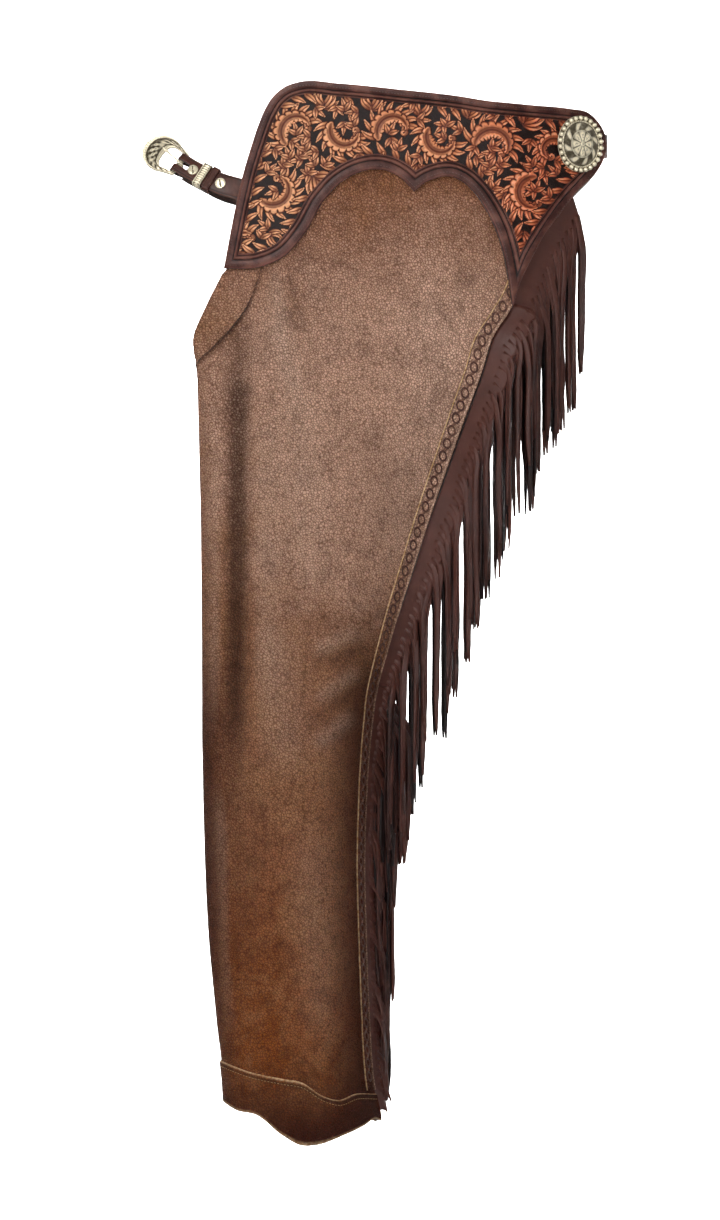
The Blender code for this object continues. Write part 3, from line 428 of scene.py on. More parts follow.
class Finish:
    """A node material under construction, with one Principled BSDF."""

    def __init__(self, name: str) -> None:
        """Makes the material and its coordinates."""
        self.material = bpy.data.materials.new(name)
        self.material.use_nodes = True
        self.tree = self.material.node_tree
        self.shader = self.tree.nodes["Principled BSDF"]
        place = self.tree.nodes.new("ShaderNodeTexCoord")
        self.place = place.outputs["Object"]

    def node(self, kind: str, settings: dict | None = None, output: int | str = 0, **inputs: object) -> Value:
        """Any node but Math.

        Args:
            kind: The node's type without its ShaderNode prefix.
            settings: Properties, set first.
            output: Which output is wanted.
            inputs: Sockets by name with underscores for spaces, as numbers or links.

        Returns:
            The output, ready for arithmetic.
        """
        node = self.tree.nodes.new("ShaderNode" + kind)
        for key, given in (settings or {}).items():
            setattr(node, key, given)
        for key, given in inputs.items():
            self.feed(node.inputs[key.replace("_", " ")], given)
        return Value(self.tree, node.outputs[output])

    def feed(self, socket: bpy.types.NodeSocket, given: object) -> None:
        """Sets a socket, or links it where a Value or a socket is given."""
        if isinstance(given, Value):
            self.tree.links.new(given.socket, socket)
        elif isinstance(given, bpy.types.NodeSocket):
            self.tree.links.new(given, socket)
        elif isinstance(given, tuple) and len(given) == 3 and len(socket.default_value) == 4:
            socket.default_value = (*given, 1)
        else:
            socket.default_value = given

    def noise(self, size: float, detail: float = 3.0, rough: float = 0.55, twist: float = 0.0,
              place: object = None) -> Value:
        """Soft noise from 0 to 1 whose patches are about size mm."""
        return self.node("TexNoise", None, 0, Vector=place or self.place, Scale=1000 / size, Detail=detail,
                         Roughness=rough, Distortion=twist)

    def cells(self, size: float, feature: str = "SMOOTH_F1", place: object = None) -> Value:
        """Distance to the middle of rounded cells of size mm."""
        inputs = {"Vector": place or self.place, "Scale": 1000 / size}
        if feature == "SMOOTH_F1":
            inputs["Smoothness"] = 0.35
        return self.node("TexVoronoi", {"feature": feature}, "Distance", **inputs)

    def warped(self, size: float, reach: float) -> Value:
        """Object coordinates pushed about by up to reach mm in patches of size mm."""
        push = self.node("TexNoise", None, "Color", Vector=self.place, Scale=1000 / size, Detail=1.0)
        node = self.tree.nodes.new("ShaderNodeVectorMath")
        node.operation = "MULTIPLY_ADD"
        self.feed(node.inputs[0], push)
        node.inputs[1].default_value = (reach * MM,) * 3
        self.feed(node.inputs[2], self.place)
        return Value(self.tree, node.outputs[0])

    def stretched(self, scale: tuple[float, float, float]) -> Value:
        """Object coordinates scaled along each axis."""
        return self.node("Mapping", None, 0, Vector=self.place, Scale=scale)

    def number(self, name: str) -> Value:
        """The numbers that a mesh keeps under this name."""
        return self.node("Attribute", {"attribute_name": name}, "Fac")

    def height(self) -> Value:
        """Object height in metres."""
        return self.node("SeparateXYZ", None, 2, Vector=self.place)

    def across(self) -> Value:
        """Object X in metres."""
        return self.node("SeparateXYZ", None, 0, Vector=self.place)

    def mix(self, factor: Value, low: Colour | Value, high: Colour | Value) -> Value:
        """Colour low where factor is 0 and high where it is 1."""
        node = self.tree.nodes.new("ShaderNodeMix")
        node.data_type = "RGBA"
        self.feed(node.inputs[0], factor)
        self.feed(node.inputs[6], low)
        self.feed(node.inputs[7], high)
        return Value(self.tree, node.outputs[2])

    def over(self, colour: Colour | Value, *coats: tuple[Value, Colour | Value]) -> Colour | Value:
        """A colour under coats, each a factor from 0 to 1 and its colour."""
        for factor, tint in coats:
            colour = self.mix(factor, colour, tint)
        return colour

    def dress(self, colour: Colour | Value, rough: float | Value, bumps: Sequence[tuple[Value, float]] = (),
              metal: float = 0.0, sheen: float = 0.0, gloss: float = 0.5) -> Paint:
        """Wires the shader.

        Args:
            colour: Base colour.
            rough: Roughness.
            bumps: Heights from 0 to 1 with their depth in mm, coarse to fine.
            metal: Metallic.
            sheen: Sheen weight, a constant.
            gloss: Specular level, a constant.

        Returns:
            The finished material.
        """
        self.feed(self.shader.inputs["Base Color"], colour)
        self.feed(self.shader.inputs["Roughness"], rough)
        self.shader.inputs["Metallic"].default_value = metal
        self.shader.inputs["Specular IOR Level"].default_value = gloss
        self.shader.inputs["Sheen Weight"].default_value = sheen
        normal: Value | None = None
        for value, depth in bumps:
            inputs = {"Height": value, "Strength": 1.0, "Distance": depth * MM}
            if normal is not None:
                inputs["Normal"] = normal
            normal = self.node("Bump", None, 0, **inputs)
        if normal is not None:
            self.feed(self.shader.inputs["Normal"], normal)
        return self.material


@dataclass(frozen=True)
class PebbledLeather:
    """Waxed brown leather with a pebbled grain, with light painted into its colour: a pale painted highlight
    over the thigh, painted shade in its folds and along the shin's sides, and painted shade darker towards the bottom
    and at the hem."""

    name: str = "pebbled_leather"
    # A pale painted highlight: the broad sheen patch over the thigh.
    wear_and_sheen: Colour = srgb(212, 166, 142)
    worn_warm: Colour = srgb(168, 124, 88)
    # The upper leg's colour; down the leg it turns to the low colour as painted shade.
    lit_upper: Colour = srgb(158, 108, 80)
    # The lower leg's darker colour, painted shade, also used just below the yoke.
    low: Colour = srgb(136, 73, 30)
    # Near black: painted shade at the hem and along the shin's sides.
    hem: Colour = srgb(60, 18, 1)
    # Dark brown of the mottling, grain and wrinkles, and of the painted shade in folds and seams.
    dark: Colour = srgb(42, 19, 8)
    # A paler painted highlight in that patch towards the back.
    sheen_pale: Colour = srgb(238, 194, 170)
    # Painted highlight on the ridges of folds and of the strip.
    raised: Colour = srgb(214, 178, 156)
    # A painted highlight on the pebbles' tops inside that patch.
    pebble_highlight: Colour = srgb(226, 192, 170)
    rubbed: Colour = srgb(190, 144, 102)
    bare: Colour = srgb(240, 202, 158)
    middle_x: float = 0.122
    grain: float = 2.6
    depth: float = 1.4

    def make(self) -> Paint:
        """Painted shade by height, an oval painted highlight patch, painted shade in the folds and at the sides,
        cloudy mottling, then the pebbles.
        """
        f = Finish(self.name)
        x, z = f.across(), f.height()
        clouds = f.noise(70, 4, 0.6, 0.5)
        mottle = f.noise(24, 5, 0.65, 0.4)
        # The oval mask of the painted highlight patch over the thigh.
        oval = ((x + 0.030) * 5.4) * ((x + 0.030) * 5.4) + ((z + 0.33) * 4.9) * ((z + 0.33) * 4.9)
        wear_and_sheen = 1 - (oval + (clouds - 0.5) * 1.6).step(0.0, 1.8)
        edges = (x + self.middle_x).absolute().step(0.030, 0.080)
        # Mask of painted shade along the shin's sides, which turn away from the light.
        sides = (x + self.middle_x).absolute().step(0.034, 0.082) * (1 - z.step(-0.66, -0.50))
        pebbles = f.cells(self.grain, "DISTANCE_TO_EDGE", f.warped(2.4, 0.7))
        crease = 1 - pebbles.step(0.02, 0.17)
        wrinkles = f.noise(6, 4, 0.65, 0.8, f.stretched((1, 1, 0.4)))
        rubbed = f.mix(f.noise(3, 3).step(0.35, 0.65), self.rubbed, self.bare)
        colour = f.over(
            self.low,
            # Painted shade: the leg darkens towards the bottom.
            (z.step(-0.98, -0.60), self.lit_upper),
            ((clouds - 0.5 + (mottle - 0.5) * 0.6).step(-0.12, 0.20) * 0.35, self.worn_warm),
            # Painted highlight: the pale sheen patch over the thigh, paler towards the back.
            (wear_and_sheen * 0.85, self.wear_and_sheen),
            (wear_and_sheen * x.step(-0.05, 0.06) * 0.5, self.sheen_pale),
            # Painted shade along the shin's sides.
            (sides * 0.84, self.hem),
            # Painted shade just below the yoke.
            (z.step(-0.26, -0.10) * 0.40, self.low),
            # Painted shade, darkest at the hem.
            (1 - (z + (clouds - 0.5) * 0.03).step(-1.06, -0.968), self.hem),
            # Painted shade in folds, seams and grooves, from the mesh's sunk numbers.
            (f.number("sunk") * 0.75, self.dark),
            (mottle.step(0.56, 0.28) * 0.34, self.dark),
            # Painted highlight on ridges, from the mesh's raised numbers.
            (f.number("raised") * 0.45, self.raised),
            (crease * 0.66, self.dark),
            # Painted highlight on the pebbles' tops inside the sheen patch.
            (pebbles.step(0.18, 0.36) * wear_and_sheen * 0.16, self.pebble_highlight),
            (wrinkles.step(0.50, 0.25) * 0.30, self.dark),
            (f.number("wear"), rubbed))
        rough = 0.42 + crease * 0.16 + (clouds - 0.5) * 0.20 + edges * 0.36
        bumps = [(f.noise(17, 3), 0.7), (wrinkles, 0.45), (pebbles.step(0.0, 0.30), self.depth),
                 (1 - f.cells(self.grain * 0.5), self.depth * 0.2)]
        return f.dress(colour, rough, bumps, gloss=0.14)


@dataclass(frozen=True)
class SmoothLeather:
    """Dyed strap leather, paler on its ridges where they are rubbed and carry a painted highlight, and near black in
    the grooves as painted shade.
    """

    name: str
    base: Colour
    # Rubbed colour of the ridges, also their painted highlight.
    rubbed: Colour
    # Painted shade in the grooves.
    groove: Colour
    roughness: float = 0.40

    def make(self) -> Paint:
        """Base colour with cloudy dye; from the mesh's crest numbers, crests paler (rubbed, and a painted highlight)
        and grooves near black (painted shade).
        """
        f = Finish(self.name)
        clouds = f.noise(22, 4, 0.6, 0.3)
        crest = f.number("crest")
        colour = f.over(self.base, (clouds.step(0.35, 0.75) * 0.45, self.rubbed),
                        # Crests rubbed paler with a painted highlight; grooves near black with painted shade.
                        ((crest - 0.5 + (clouds - 0.5) * 0.5).step(0.0, 0.5) * 0.55, self.rubbed),
                        ((0.5 - crest).step(0.05, 0.45), self.groove),
                        (f.noise(3.0, 4, 0.7).step(0.60, 0.75) * 0.25, self.rubbed))
        rough = self.roughness + (clouds - 0.5) * 0.2
        return f.dress(colour, rough, [(f.noise(9, 3), 0.25), (1 - f.cells(0.9), 0.07)], gloss=0.22)


@dataclass(frozen=True)
class FringeLeather:
    """Soft dark leather of the fringe, each strand with its own tone, the strands behind darker with painted shade."""

    name: str = "fringe_leather"
    dark: Colour = srgb(16, 7, 6)
    light: Colour = srgb(80, 46, 38)

    def make(self) -> Paint:
        """Tone from strand to strand, with painted shade on the strands behind, soft clouds and a faint length-wise
        fibre.
        """
        f = Finish(self.name)
        tone = f.number("tone")
        clouds = f.noise(30, 3, 0.6)
        fibres = f.noise(3.0, 3, 0.6, 0.0, f.stretched((1, 1, 0.2)))
        colour = f.mix((tone + (clouds - 0.5) * 0.5).step(0.0, 1.0), self.dark, self.light)
        colour = f.mix(fibres.step(0.60, 0.78) * 0.16, colour, srgb(126, 88, 76))
        rough = 0.46 + (clouds - 0.5) * 0.2
        return f.dress(colour, rough, [(f.noise(12, 3), 0.4), (f.noise(1.4, 3), 0.07)], gloss=0.22)


@dataclass(frozen=True)
class CarvedLeather:
    """Carved and antiqued leather: tan leaves turning redder towards the back, on a near-black ground."""

    name: str = "carved_leather"
    front: Colour = srgb(226, 158, 112)
    middle: Colour = srgb(216, 138, 94)
    back: Colour = srgb(224, 124, 84)
    dye: Colour = srgb(22, 8, 6)
    # Antique stain in the hollows, also the painted shade on the leaves' low facets.
    antique: Colour = srgb(78, 28, 13)
    # Painted highlight on the leaves' high places.
    crown: Colour = srgb(238, 190, 148)
    ground: Colour = srgb(46, 24, 20)

    def make(self) -> Paint:
        """The mesh's leaf, rise and cut numbers choose leaf or ground, paint light on the leaves from rise (a painted
        highlight on high places, painted shade with the antique stain on low ones), and darken its cuts."""
        f = Finish(self.name)
        leaf, cut, rise = f.number("leaf"), f.number("cut"), f.number("rise")
        run = f.across() + (f.noise(40, 2) - 0.5) * 0.06
        stain = f.noise(6, 4, 0.65)
        ground = f.mix(f.noise(1.6, 2).step(0.5, 0.75) * 0.35, self.dye, self.ground)
        # Where rise is low, the antique colour is stain in the hollows and painted shade; where it is high, the crown
        # colour is a painted highlight.
        colour = f.over(self.front, (run.step(-0.12, 0.03), self.middle), (run.step(0.04, 0.14), self.back),
                        ((1 - rise).step(0.08, 0.85) * 0.88, self.antique), (rise.step(0.80, 1.0) * 0.35, self.crown),
                        (stain.step(0.52, 0.30) * 0.40, self.antique), (cut.step(0.12, 0.70) * 0.85, self.antique),
                        (cut.step(0.65, 1.0), self.dye))
        colour = f.mix(leaf.step(0.35, 0.65), ground, colour)
        rough = 0.48 - leaf * 0.08 + (stain - 0.5) * 0.16
        matting = f.cells(1.5) * (1 - leaf)
        return f.dress(colour, rough, [(matting, 0.35), (f.noise(2.5, 3), 0.06)], gloss=0.2)


@dataclass(frozen=True)
class Silver:
    """Antique nickel silver: bright on its high places and dark in the engraving."""

    name: str = "antique_silver"
    bright: Colour = srgb(236, 224, 194)
    dark: Colour = srgb(70, 60, 44)

    def make(self) -> Paint:
        """Crest numbers polish or darken; fine scratches vary the gloss."""
        f = Finish(self.name)
        crest = f.number("crest")
        tarnish = f.noise(6, 4, 0.65)
        colour = f.mix((crest + (tarnish - 0.5) * 0.5).step(0.12, 0.62), self.dark, self.bright)
        colour = f.mix(tarnish.step(0.62, 0.8) * 0.35, colour, srgb(170, 150, 112))
        rough = 0.40 - crest * 0.18 + (f.noise(1.5, 3) - 0.5) * 0.12
        return f.dress(colour, rough, [(f.noise(2.0, 3), 0.03)], metal=0.45)


@dataclass(frozen=True)
class PlainLeather:
    """One-colour leather for flesh sides, raw edges and lacing."""

    name: str
    low: Colour
    high: Colour
    size: float = 6.0
    roughness: float = 0.75
    depth: float = 0.2

    def make(self) -> Paint:
        """Two tones in a soft fibrous noise."""
        f = Finish(self.name)
        fibres = f.noise(self.size, 5, 0.7, 0.4)
        nap = f.noise(self.size * 0.12, 3, 0.7)
        colour = f.mix(fibres.step(0.3, 0.7), self.low, self.high)
        return f.dress(colour, self.roughness + (nap - 0.5) * 0.2, [(fibres, self.depth), (nap, self.depth * 0.4)],
                       sheen=0.12, gloss=0.3)


@dataclass(frozen=True)
class Thread:
    """Waxed twisted thread."""

    name: str
    colour: Colour

    def make(self) -> Paint:
        """A fine slanting twist darkens the thread."""
        f = Finish(self.name)
        twist = f.noise(0.8, 2)
        colour = f.mix(twist.step(0.35, 0.65) * 0.5, self.colour, tuple(0.45 * c for c in self.colour))
        return f.dress(colour, 0.55, [(twist, 0.06)], gloss=0.4)


class Finishes:
    """Every material, made once."""

    def __init__(self) -> None:
        """Builds them all."""
        self.pebbled = PebbledLeather().make()
        self.border = SmoothLeather("border_leather", srgb(54, 25, 20), srgb(128, 84, 72), srgb(8, 4, 4)).make()
        self.strap = SmoothLeather("strap_leather", srgb(60, 32, 24), srgb(108, 72, 60), srgb(14, 8, 7)).make()
        self.fringe = FringeLeather().make()
        self.carved = CarvedLeather().make()
        self.silver = Silver().make()
        self.flesh = PlainLeather("flesh_side", srgb(96, 68, 50), srgb(132, 98, 72)).make()
        self.dark_flesh = PlainLeather("dark_flesh_side", srgb(40, 26, 22), srgb(66, 46, 38)).make()
        self.raw_edge = PlainLeather("raw_edge", srgb(150, 104, 66), srgb(190, 142, 98), 3.0).make()
        self.dark_edge = PlainLeather("burnished_edge", srgb(30, 18, 15), srgb(54, 34, 28), 3.0, 0.5).make()
        self.thong = SmoothLeather("lacing_thong", srgb(74, 45, 36), srgb(122, 88, 72), srgb(20, 10, 8), 0.5).make()
        self.tan_thread = Thread("tan_thread", srgb(196, 156, 110)).make()
        self.brown_thread = Thread("brown_thread", srgb(84, 54, 46)).make()


# ---------------------------------------------------------------- the form of a leg
@dataclass(frozen=True)
class Section:
    """One level of a leg: its front fold, its outer seam, and how deep the two walls bulge."""

    z: float
    fold_x: float
    seam_x: float
    seam_y: float
    depth_out: float
    depth_in: float


@dataclass(frozen=True)
class Crease:
    """A soft trough (depth above 0) or ridge (below 0) from one place to another on a wall."""

    start_x: float
    start_z: float
    end_x: float
    end_z: float
    width: float
    depth: float
    bow: float = 0.0
    # How strongly the colour is painted: shade in a trough, highlight on a ridge.
    mark: float = 0.16

    def press(self, x: Array, z: Array) -> Array:
        """Depth times a bell across the line and a soft start and end along it.

        Args:
            x: Places across.
            z: Heights.

        Returns:
            How far each place is pressed in, in mm.
        """
        run = np.array([self.end_x - self.start_x, self.end_z - self.start_z])
        length = np.hypot(*run)
        run = run / length
        along = ((x - self.start_x) * run[0] + (z - self.start_z) * run[1]) / length
        share = np.clip(along, 0, 1)
        aside = (x - self.start_x) * run[1] - (z - self.start_z) * run[0]
        aside = aside - self.bow * np.sin(math.pi * share)
        ends = ease(along, -0.08, 0.22) * (1 - ease(along, 0.72, 1.08))
        return self.depth * ends * np.exp(-((aside / self.width) ** 2))


@dataclass(frozen=True)
class Seam:
    """A sewn seam: a narrow groove along a line of places, depth exp(-(gap / width)^2)."""

    line: tuple
    width: float = 3.0
    depth: float = 1.9
    # How strongly the seam's groove is painted dark as painted shade.
    mark: float = 0.42

    def press(self, x: Array, z: Array) -> Array:
        """How far each place is pressed in, in mm."""
        place = np.stack(np.broadcast_arrays(x, z), -1)
        gap = line_distance(place.reshape(-1, 2), resample(self.line, 60))[0].reshape(place.shape[:-1])
        return self.depth * np.exp(-((gap / self.width) ** 2))


@dataclass(frozen=True)
class HipForm:
    """The hip surface: a plan curve carried straight down. It is level and turns in to the centre back."""

    plan: tuple = ((-215, -62), (-181, -74), (-145, -84), (-75, -92), (25, -94), (75, -91), (105, -84),
                   (135, -66), (170, -40), (206, -12))

    def y(self, x: Array) -> Array:
        """The surface's y at x."""
        return through(self.plan, x)

    def slope(self, x: Array) -> Array:
        """dy/dx at x."""
        return self.y(np.asarray(x) + 0.5) - self.y(np.asarray(x) - 0.5)

    def at(self, x: Array, z: Array, out: Array) -> Array:
        """The point at x and z, moved out along the surface's normal.

        Args:
            x: Places along the hip.
            z: Heights.
            out: Distances outward.

        Returns:
            The points, stacked last.
        """
        slope = self.slope(x)
        scale = out / np.sqrt(1 + slope**2)
        return np.stack(np.broadcast_arrays(x + slope * scale, self.y(x) - scale, z), -1)

    def outward(self, x: Array) -> Array:
        """The outward direction at x."""
        slope = self.slope(x)
        return unit(np.stack(np.broadcast_arrays(slope, -1.0, 0.0), -1))


@dataclass(frozen=True)
class LegForm:
    """The inner face of a leg's two walls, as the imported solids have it."""

    hip: HipForm = field(default_factory=HipForm)
    sections: tuple = tuple(Section(*row) for row in (
        (-1070, -176, -24, -34, 43, 40), (-1048, -178, -26, -33, 44, 41), (-1012, -180, -33, -32, 44, 41),
        (-939, -188, -39, -31, 45, 42), (-859, -195, -42, -30, 46, 42), (-776, -199, -43.5, -31, 46, 42),
        (-705, -201, -41, -33, 46, 42), (-649, -202, -36, -36, 46, 42), (-614, -202, -31, -39, 46, 42),
        (-564, -202, -17, -46, 46, 42), (-480, -203, 11, -56, 46, 42), (-410, -204, 35, -62, 46, 42),
        (-340, -205, 60, -68, 46, 42), (-290, -207, 78, -74, 46, 42), (-255, -211, 89, -80, 44, 40),
        (-226, -199, 106, -84, 42, 38), (-187, -179, 108, -84, 38, 34), (-130, -152, 106, -84, 34, 30),
        (-60, -130, 100, -84, 34, 30)))
    fold_y: float = -56.0
    wall: float = 2.4
    lap_gap: float = 0.9
    parting: float = 0.7
    hook: float = 9.0
    sharpness: float = 1.6
    hip_z: tuple[float, float] = (-420.0, -235.0)
    gusset_seam: tuple = ((-1070, -0.30), (-340, -0.28), (-305, -0.16), (-284, 0.0), (-270, 0.135), (-253, 0.205),
                          (-233, 0.232), (-210, 0.236), (-187, 0.227), (-150, 0.22))

    def column(self, name: str, z: Array) -> Array:
        """One measure of the sections at heights z."""
        return through([(s.z, getattr(s, name)) for s in self.sections], z)

    def inner_face(self, measure: Array, z: Array) -> Array:
        """The walls' inner face.

        measure runs from -1 (outer seam, inner wall) through 0 (front fold) to 1 (outer seam, outer
        wall). Across, u = (1 - cos(pi t)) / 2; the depth is a power of sin(pi t) on a base line that
        turns back near the seam; above the hip's level the outer wall passes into the hip's plan.

        Args:
            measure: The section measure.
            z: Heights.

        Returns:
            The points.
        """
        t = np.abs(measure)
        fold_x, seam_x = self.column("fold_x", z), self.column("seam_x", z)
        u = (1 - np.cos(math.pi * t)) / 2
        x = fold_x + (seam_x - fold_x) * u
        bulge = np.maximum(np.sin(math.pi * t), 0) ** (1 + self.sharpness * u**2)
        leg = 1 - ease(z, *self.hip_z)
        lap = (self.lap_gap + self.wall) * np.sqrt(1 + self.hip.slope(x) ** 2)
        fold_end = (1 - leg) * (self.hip.y(fold_x) + lap) + leg * self.fold_y
        seam_end = (1 - leg) * (self.hip.y(seam_x) + lap) + leg * self.column("seam_y", z)
        base = fold_end + (seam_end - fold_end) * u**self.hook
        leg_base = self.fold_y + (self.column("seam_y", z) - self.fold_y) * u**self.hook
        outer = (1 - leg) * (self.hip.y(x) + lap) + leg * (leg_base - self.column("depth_out", z) * bulge)
        inner = base + self.column("depth_in", z) * bulge
        parted = self.parting * ease(t, 0.85, 1.0)
        return np.stack([x, np.where(measure > 0, outer - parted, inner + parted), z], -1)

    def outward(self, measure: Array, z: Array) -> Array:
        """The walls' outward direction, read just short of the seam."""
        measure = np.clip(measure, -0.97, 0.97)
        along = self.inner_face(measure + 0.01, z) - self.inner_face(measure - 0.01, z)
        down = self.inner_face(measure, z - 1.0) - self.inner_face(measure, z + 1.0)
        return unit(np.cross(down, along))

    def seam(self, z: Array) -> tuple[Array, Array]:
        """The outer seam at heights z: its points, and the level direction in which its flange lies."""
        ones = np.ones_like(z)
        tip = (self.inner_face(ones, z) + self.inner_face(-ones, z)) / 2
        before = (self.inner_face(0.86 * ones, z) + self.inner_face(-0.86 * ones, z)) / 2
        return tip, unit((tip - before) * (1, 1, 0))


@dataclass(frozen=True)
class Panel:
    """A leg panel as a fine grid over its wall, with its own edges and creases."""

    form: LegForm
    outer: bool
    columns: int
    rows: int
    creases: tuple
    front_top: tuple = ((-143, -177), (-120, -146), (-100, -118), (-75, -90), (-32, -77), (9, -79), (45, -83),
                        (80, -103), (97, -135), (108, -180))
    back_top: tuple = ((-1.0, -246), (-0.75, -280), (-0.45, -300), (-0.2, -285), (-0.08, -240), (0.0, -192),
                       (0.1, -181), (0.24, -178))
    front_hem: tuple = ((-179, -1024), (-168, -1031), (-147, -1036), (-122, -1056), (-103, -1066), (-92, -1066),
                        (-62, -1056), (-45, -1049), (-33, -1043), (-25, -1046))
    back_hem: tuple = ((-179, -1024), (-140, -1022), (-90, -1030), (-45, -1042), (-25, -1046))
    gusset_top_z: float = -178.0
    # The leather's waviness, slow and fine: seed, depth, size across, size along, octaves.
    waves: tuple = ((5, 0.7, 120, 170, 2), (8, 0.28, 26, 60, 3))

    def measure(self, q: Array, z: Array) -> Array:
        """The section measure of the panel's share q across at height z."""
        seam = through(self.form.gusset_seam, z)
        return seam + q * (1 - seam) if self.outer else -1 + q * (seam + 1)

    def edge(self, q: Array, upper: bool) -> Array:
        """The height of the upper or lower edge at share q.

        The edge is known by x, so a few rounds bring height and x together.
        """
        z = np.full_like(q, -150.0 if upper else -1040.0)
        for _ in range(14):
            measure = self.measure(q, z)
            x = self.form.inner_face(measure, z)[..., 0]
            if upper:
                z = 0.5 * z + 0.5 * (through(self.front_top, x) if self.outer else through(self.back_top, measure))
            else:
                z = np.where(measure > 0, through(self.front_hem, x), through(self.back_hem, x))
        if upper:
            z[0 if self.outer else -1] = self.gusset_top_z
        return z

    def at(self, q: Array, z: Array, out: Array | float = 0.0) -> Array:
        """Points on the finished outer face at share q and height z.

        The face is the solid's own, pressed in by the creases and by a slow waviness, and moved out.

        Args:
            q: Share across the panel, 0 to 1.
            z: Heights.
            out: Extra distance outward.

        Returns:
            The points.
        """
        q, z = np.broadcast_arrays(np.asarray(q, float), np.asarray(z, float))
        measure = self.measure(q, z)
        face, normal = self.form.inner_face(measure, z), self.form.outward(measure, z)
        x = face[..., 0]
        edge = np.minimum(1, 14 * (1 - np.abs(measure)))
        relief = sum(crease.press(x, z) for crease in self.creases)
        for seed, depth, wide, long, octaves in self.waves:
            seed += octaves == 2 and not self.outer
            relief = relief + depth * noise(seed, x / wide, z / long, octaves=octaves)
        relief = relief * edge
        return face + normal * (self.form.wall - relief + out)[..., None]

    def normal(self, q: Array, z: Array) -> Array:
        """The outward direction at share q and height z."""
        q, z = np.broadcast_arrays(np.asarray(q, float), np.asarray(z, float))
        return self.form.outward(self.measure(q, z), z)

    def grid(self) -> tuple[Array, Array, Array]:
        """The outer face as a grid, its shares across, and its heights."""
        q = np.linspace(0, 1, self.columns)
        top, bottom = self.edge(q, True), self.edge(q, False)
        z = top[None] + (bottom - top)[None] * np.linspace(0, 1, self.rows)[:, None]
        return self.at(q[None], z), np.broadcast_to(q, z.shape), z

    def share_from_seam(self, z: Array, distance: Array) -> Array:
        """The share q at each distance from the outer seam, measured along the wall at each height.

        Args:
            z: Heights.
            distance: Distances, read at every height.

        Returns:
            Shares, heights by distances.
        """
        q = np.linspace(0.55, 1, 160) if self.outer else np.linspace(0.45, 0, 160)
        lines = self.at(q[None], z[:, None])[:, ::-1]
        step = np.linalg.norm(np.diff(lines, axis=1), axis=2)
        run = np.concatenate([np.zeros((len(z), 1)), np.cumsum(step, axis=1)], 1)
        return np.stack([np.interp(distance, row, q[::-1]) for row in run])


def flat_size(grid: Array) -> tuple[tuple[float, float], float]:
    """The cut of a sheet: its widest girth and its whole height, and its area, in metres."""
    girth = np.linalg.norm(np.diff(grid, axis=1)[..., :2], axis=2).sum(1).max() * MM
    height = float(np.ptp(grid[..., 2])) * MM
    a, b = grid[1:, 1:] - grid[:-1, :-1], grid[1:, :-1] - grid[:-1, 1:]
    area = 0.5 * np.linalg.norm(np.cross(a, b), axis=2).sum() * MM**2
    share = float(np.clip(area / (girth * height), 0.31, 0.99))
    return (float(girth), height), share * float(girth) * height


@dataclass(frozen=True)
class Sided:
    """A sub-assembly that each half of the pair has."""

    side: Side
    finishes: Finishes

    def named(self, stem: str) -> str:
        """A piece's or a solid's name with this side's letter."""
        return f"{stem}_{self.side.value}"


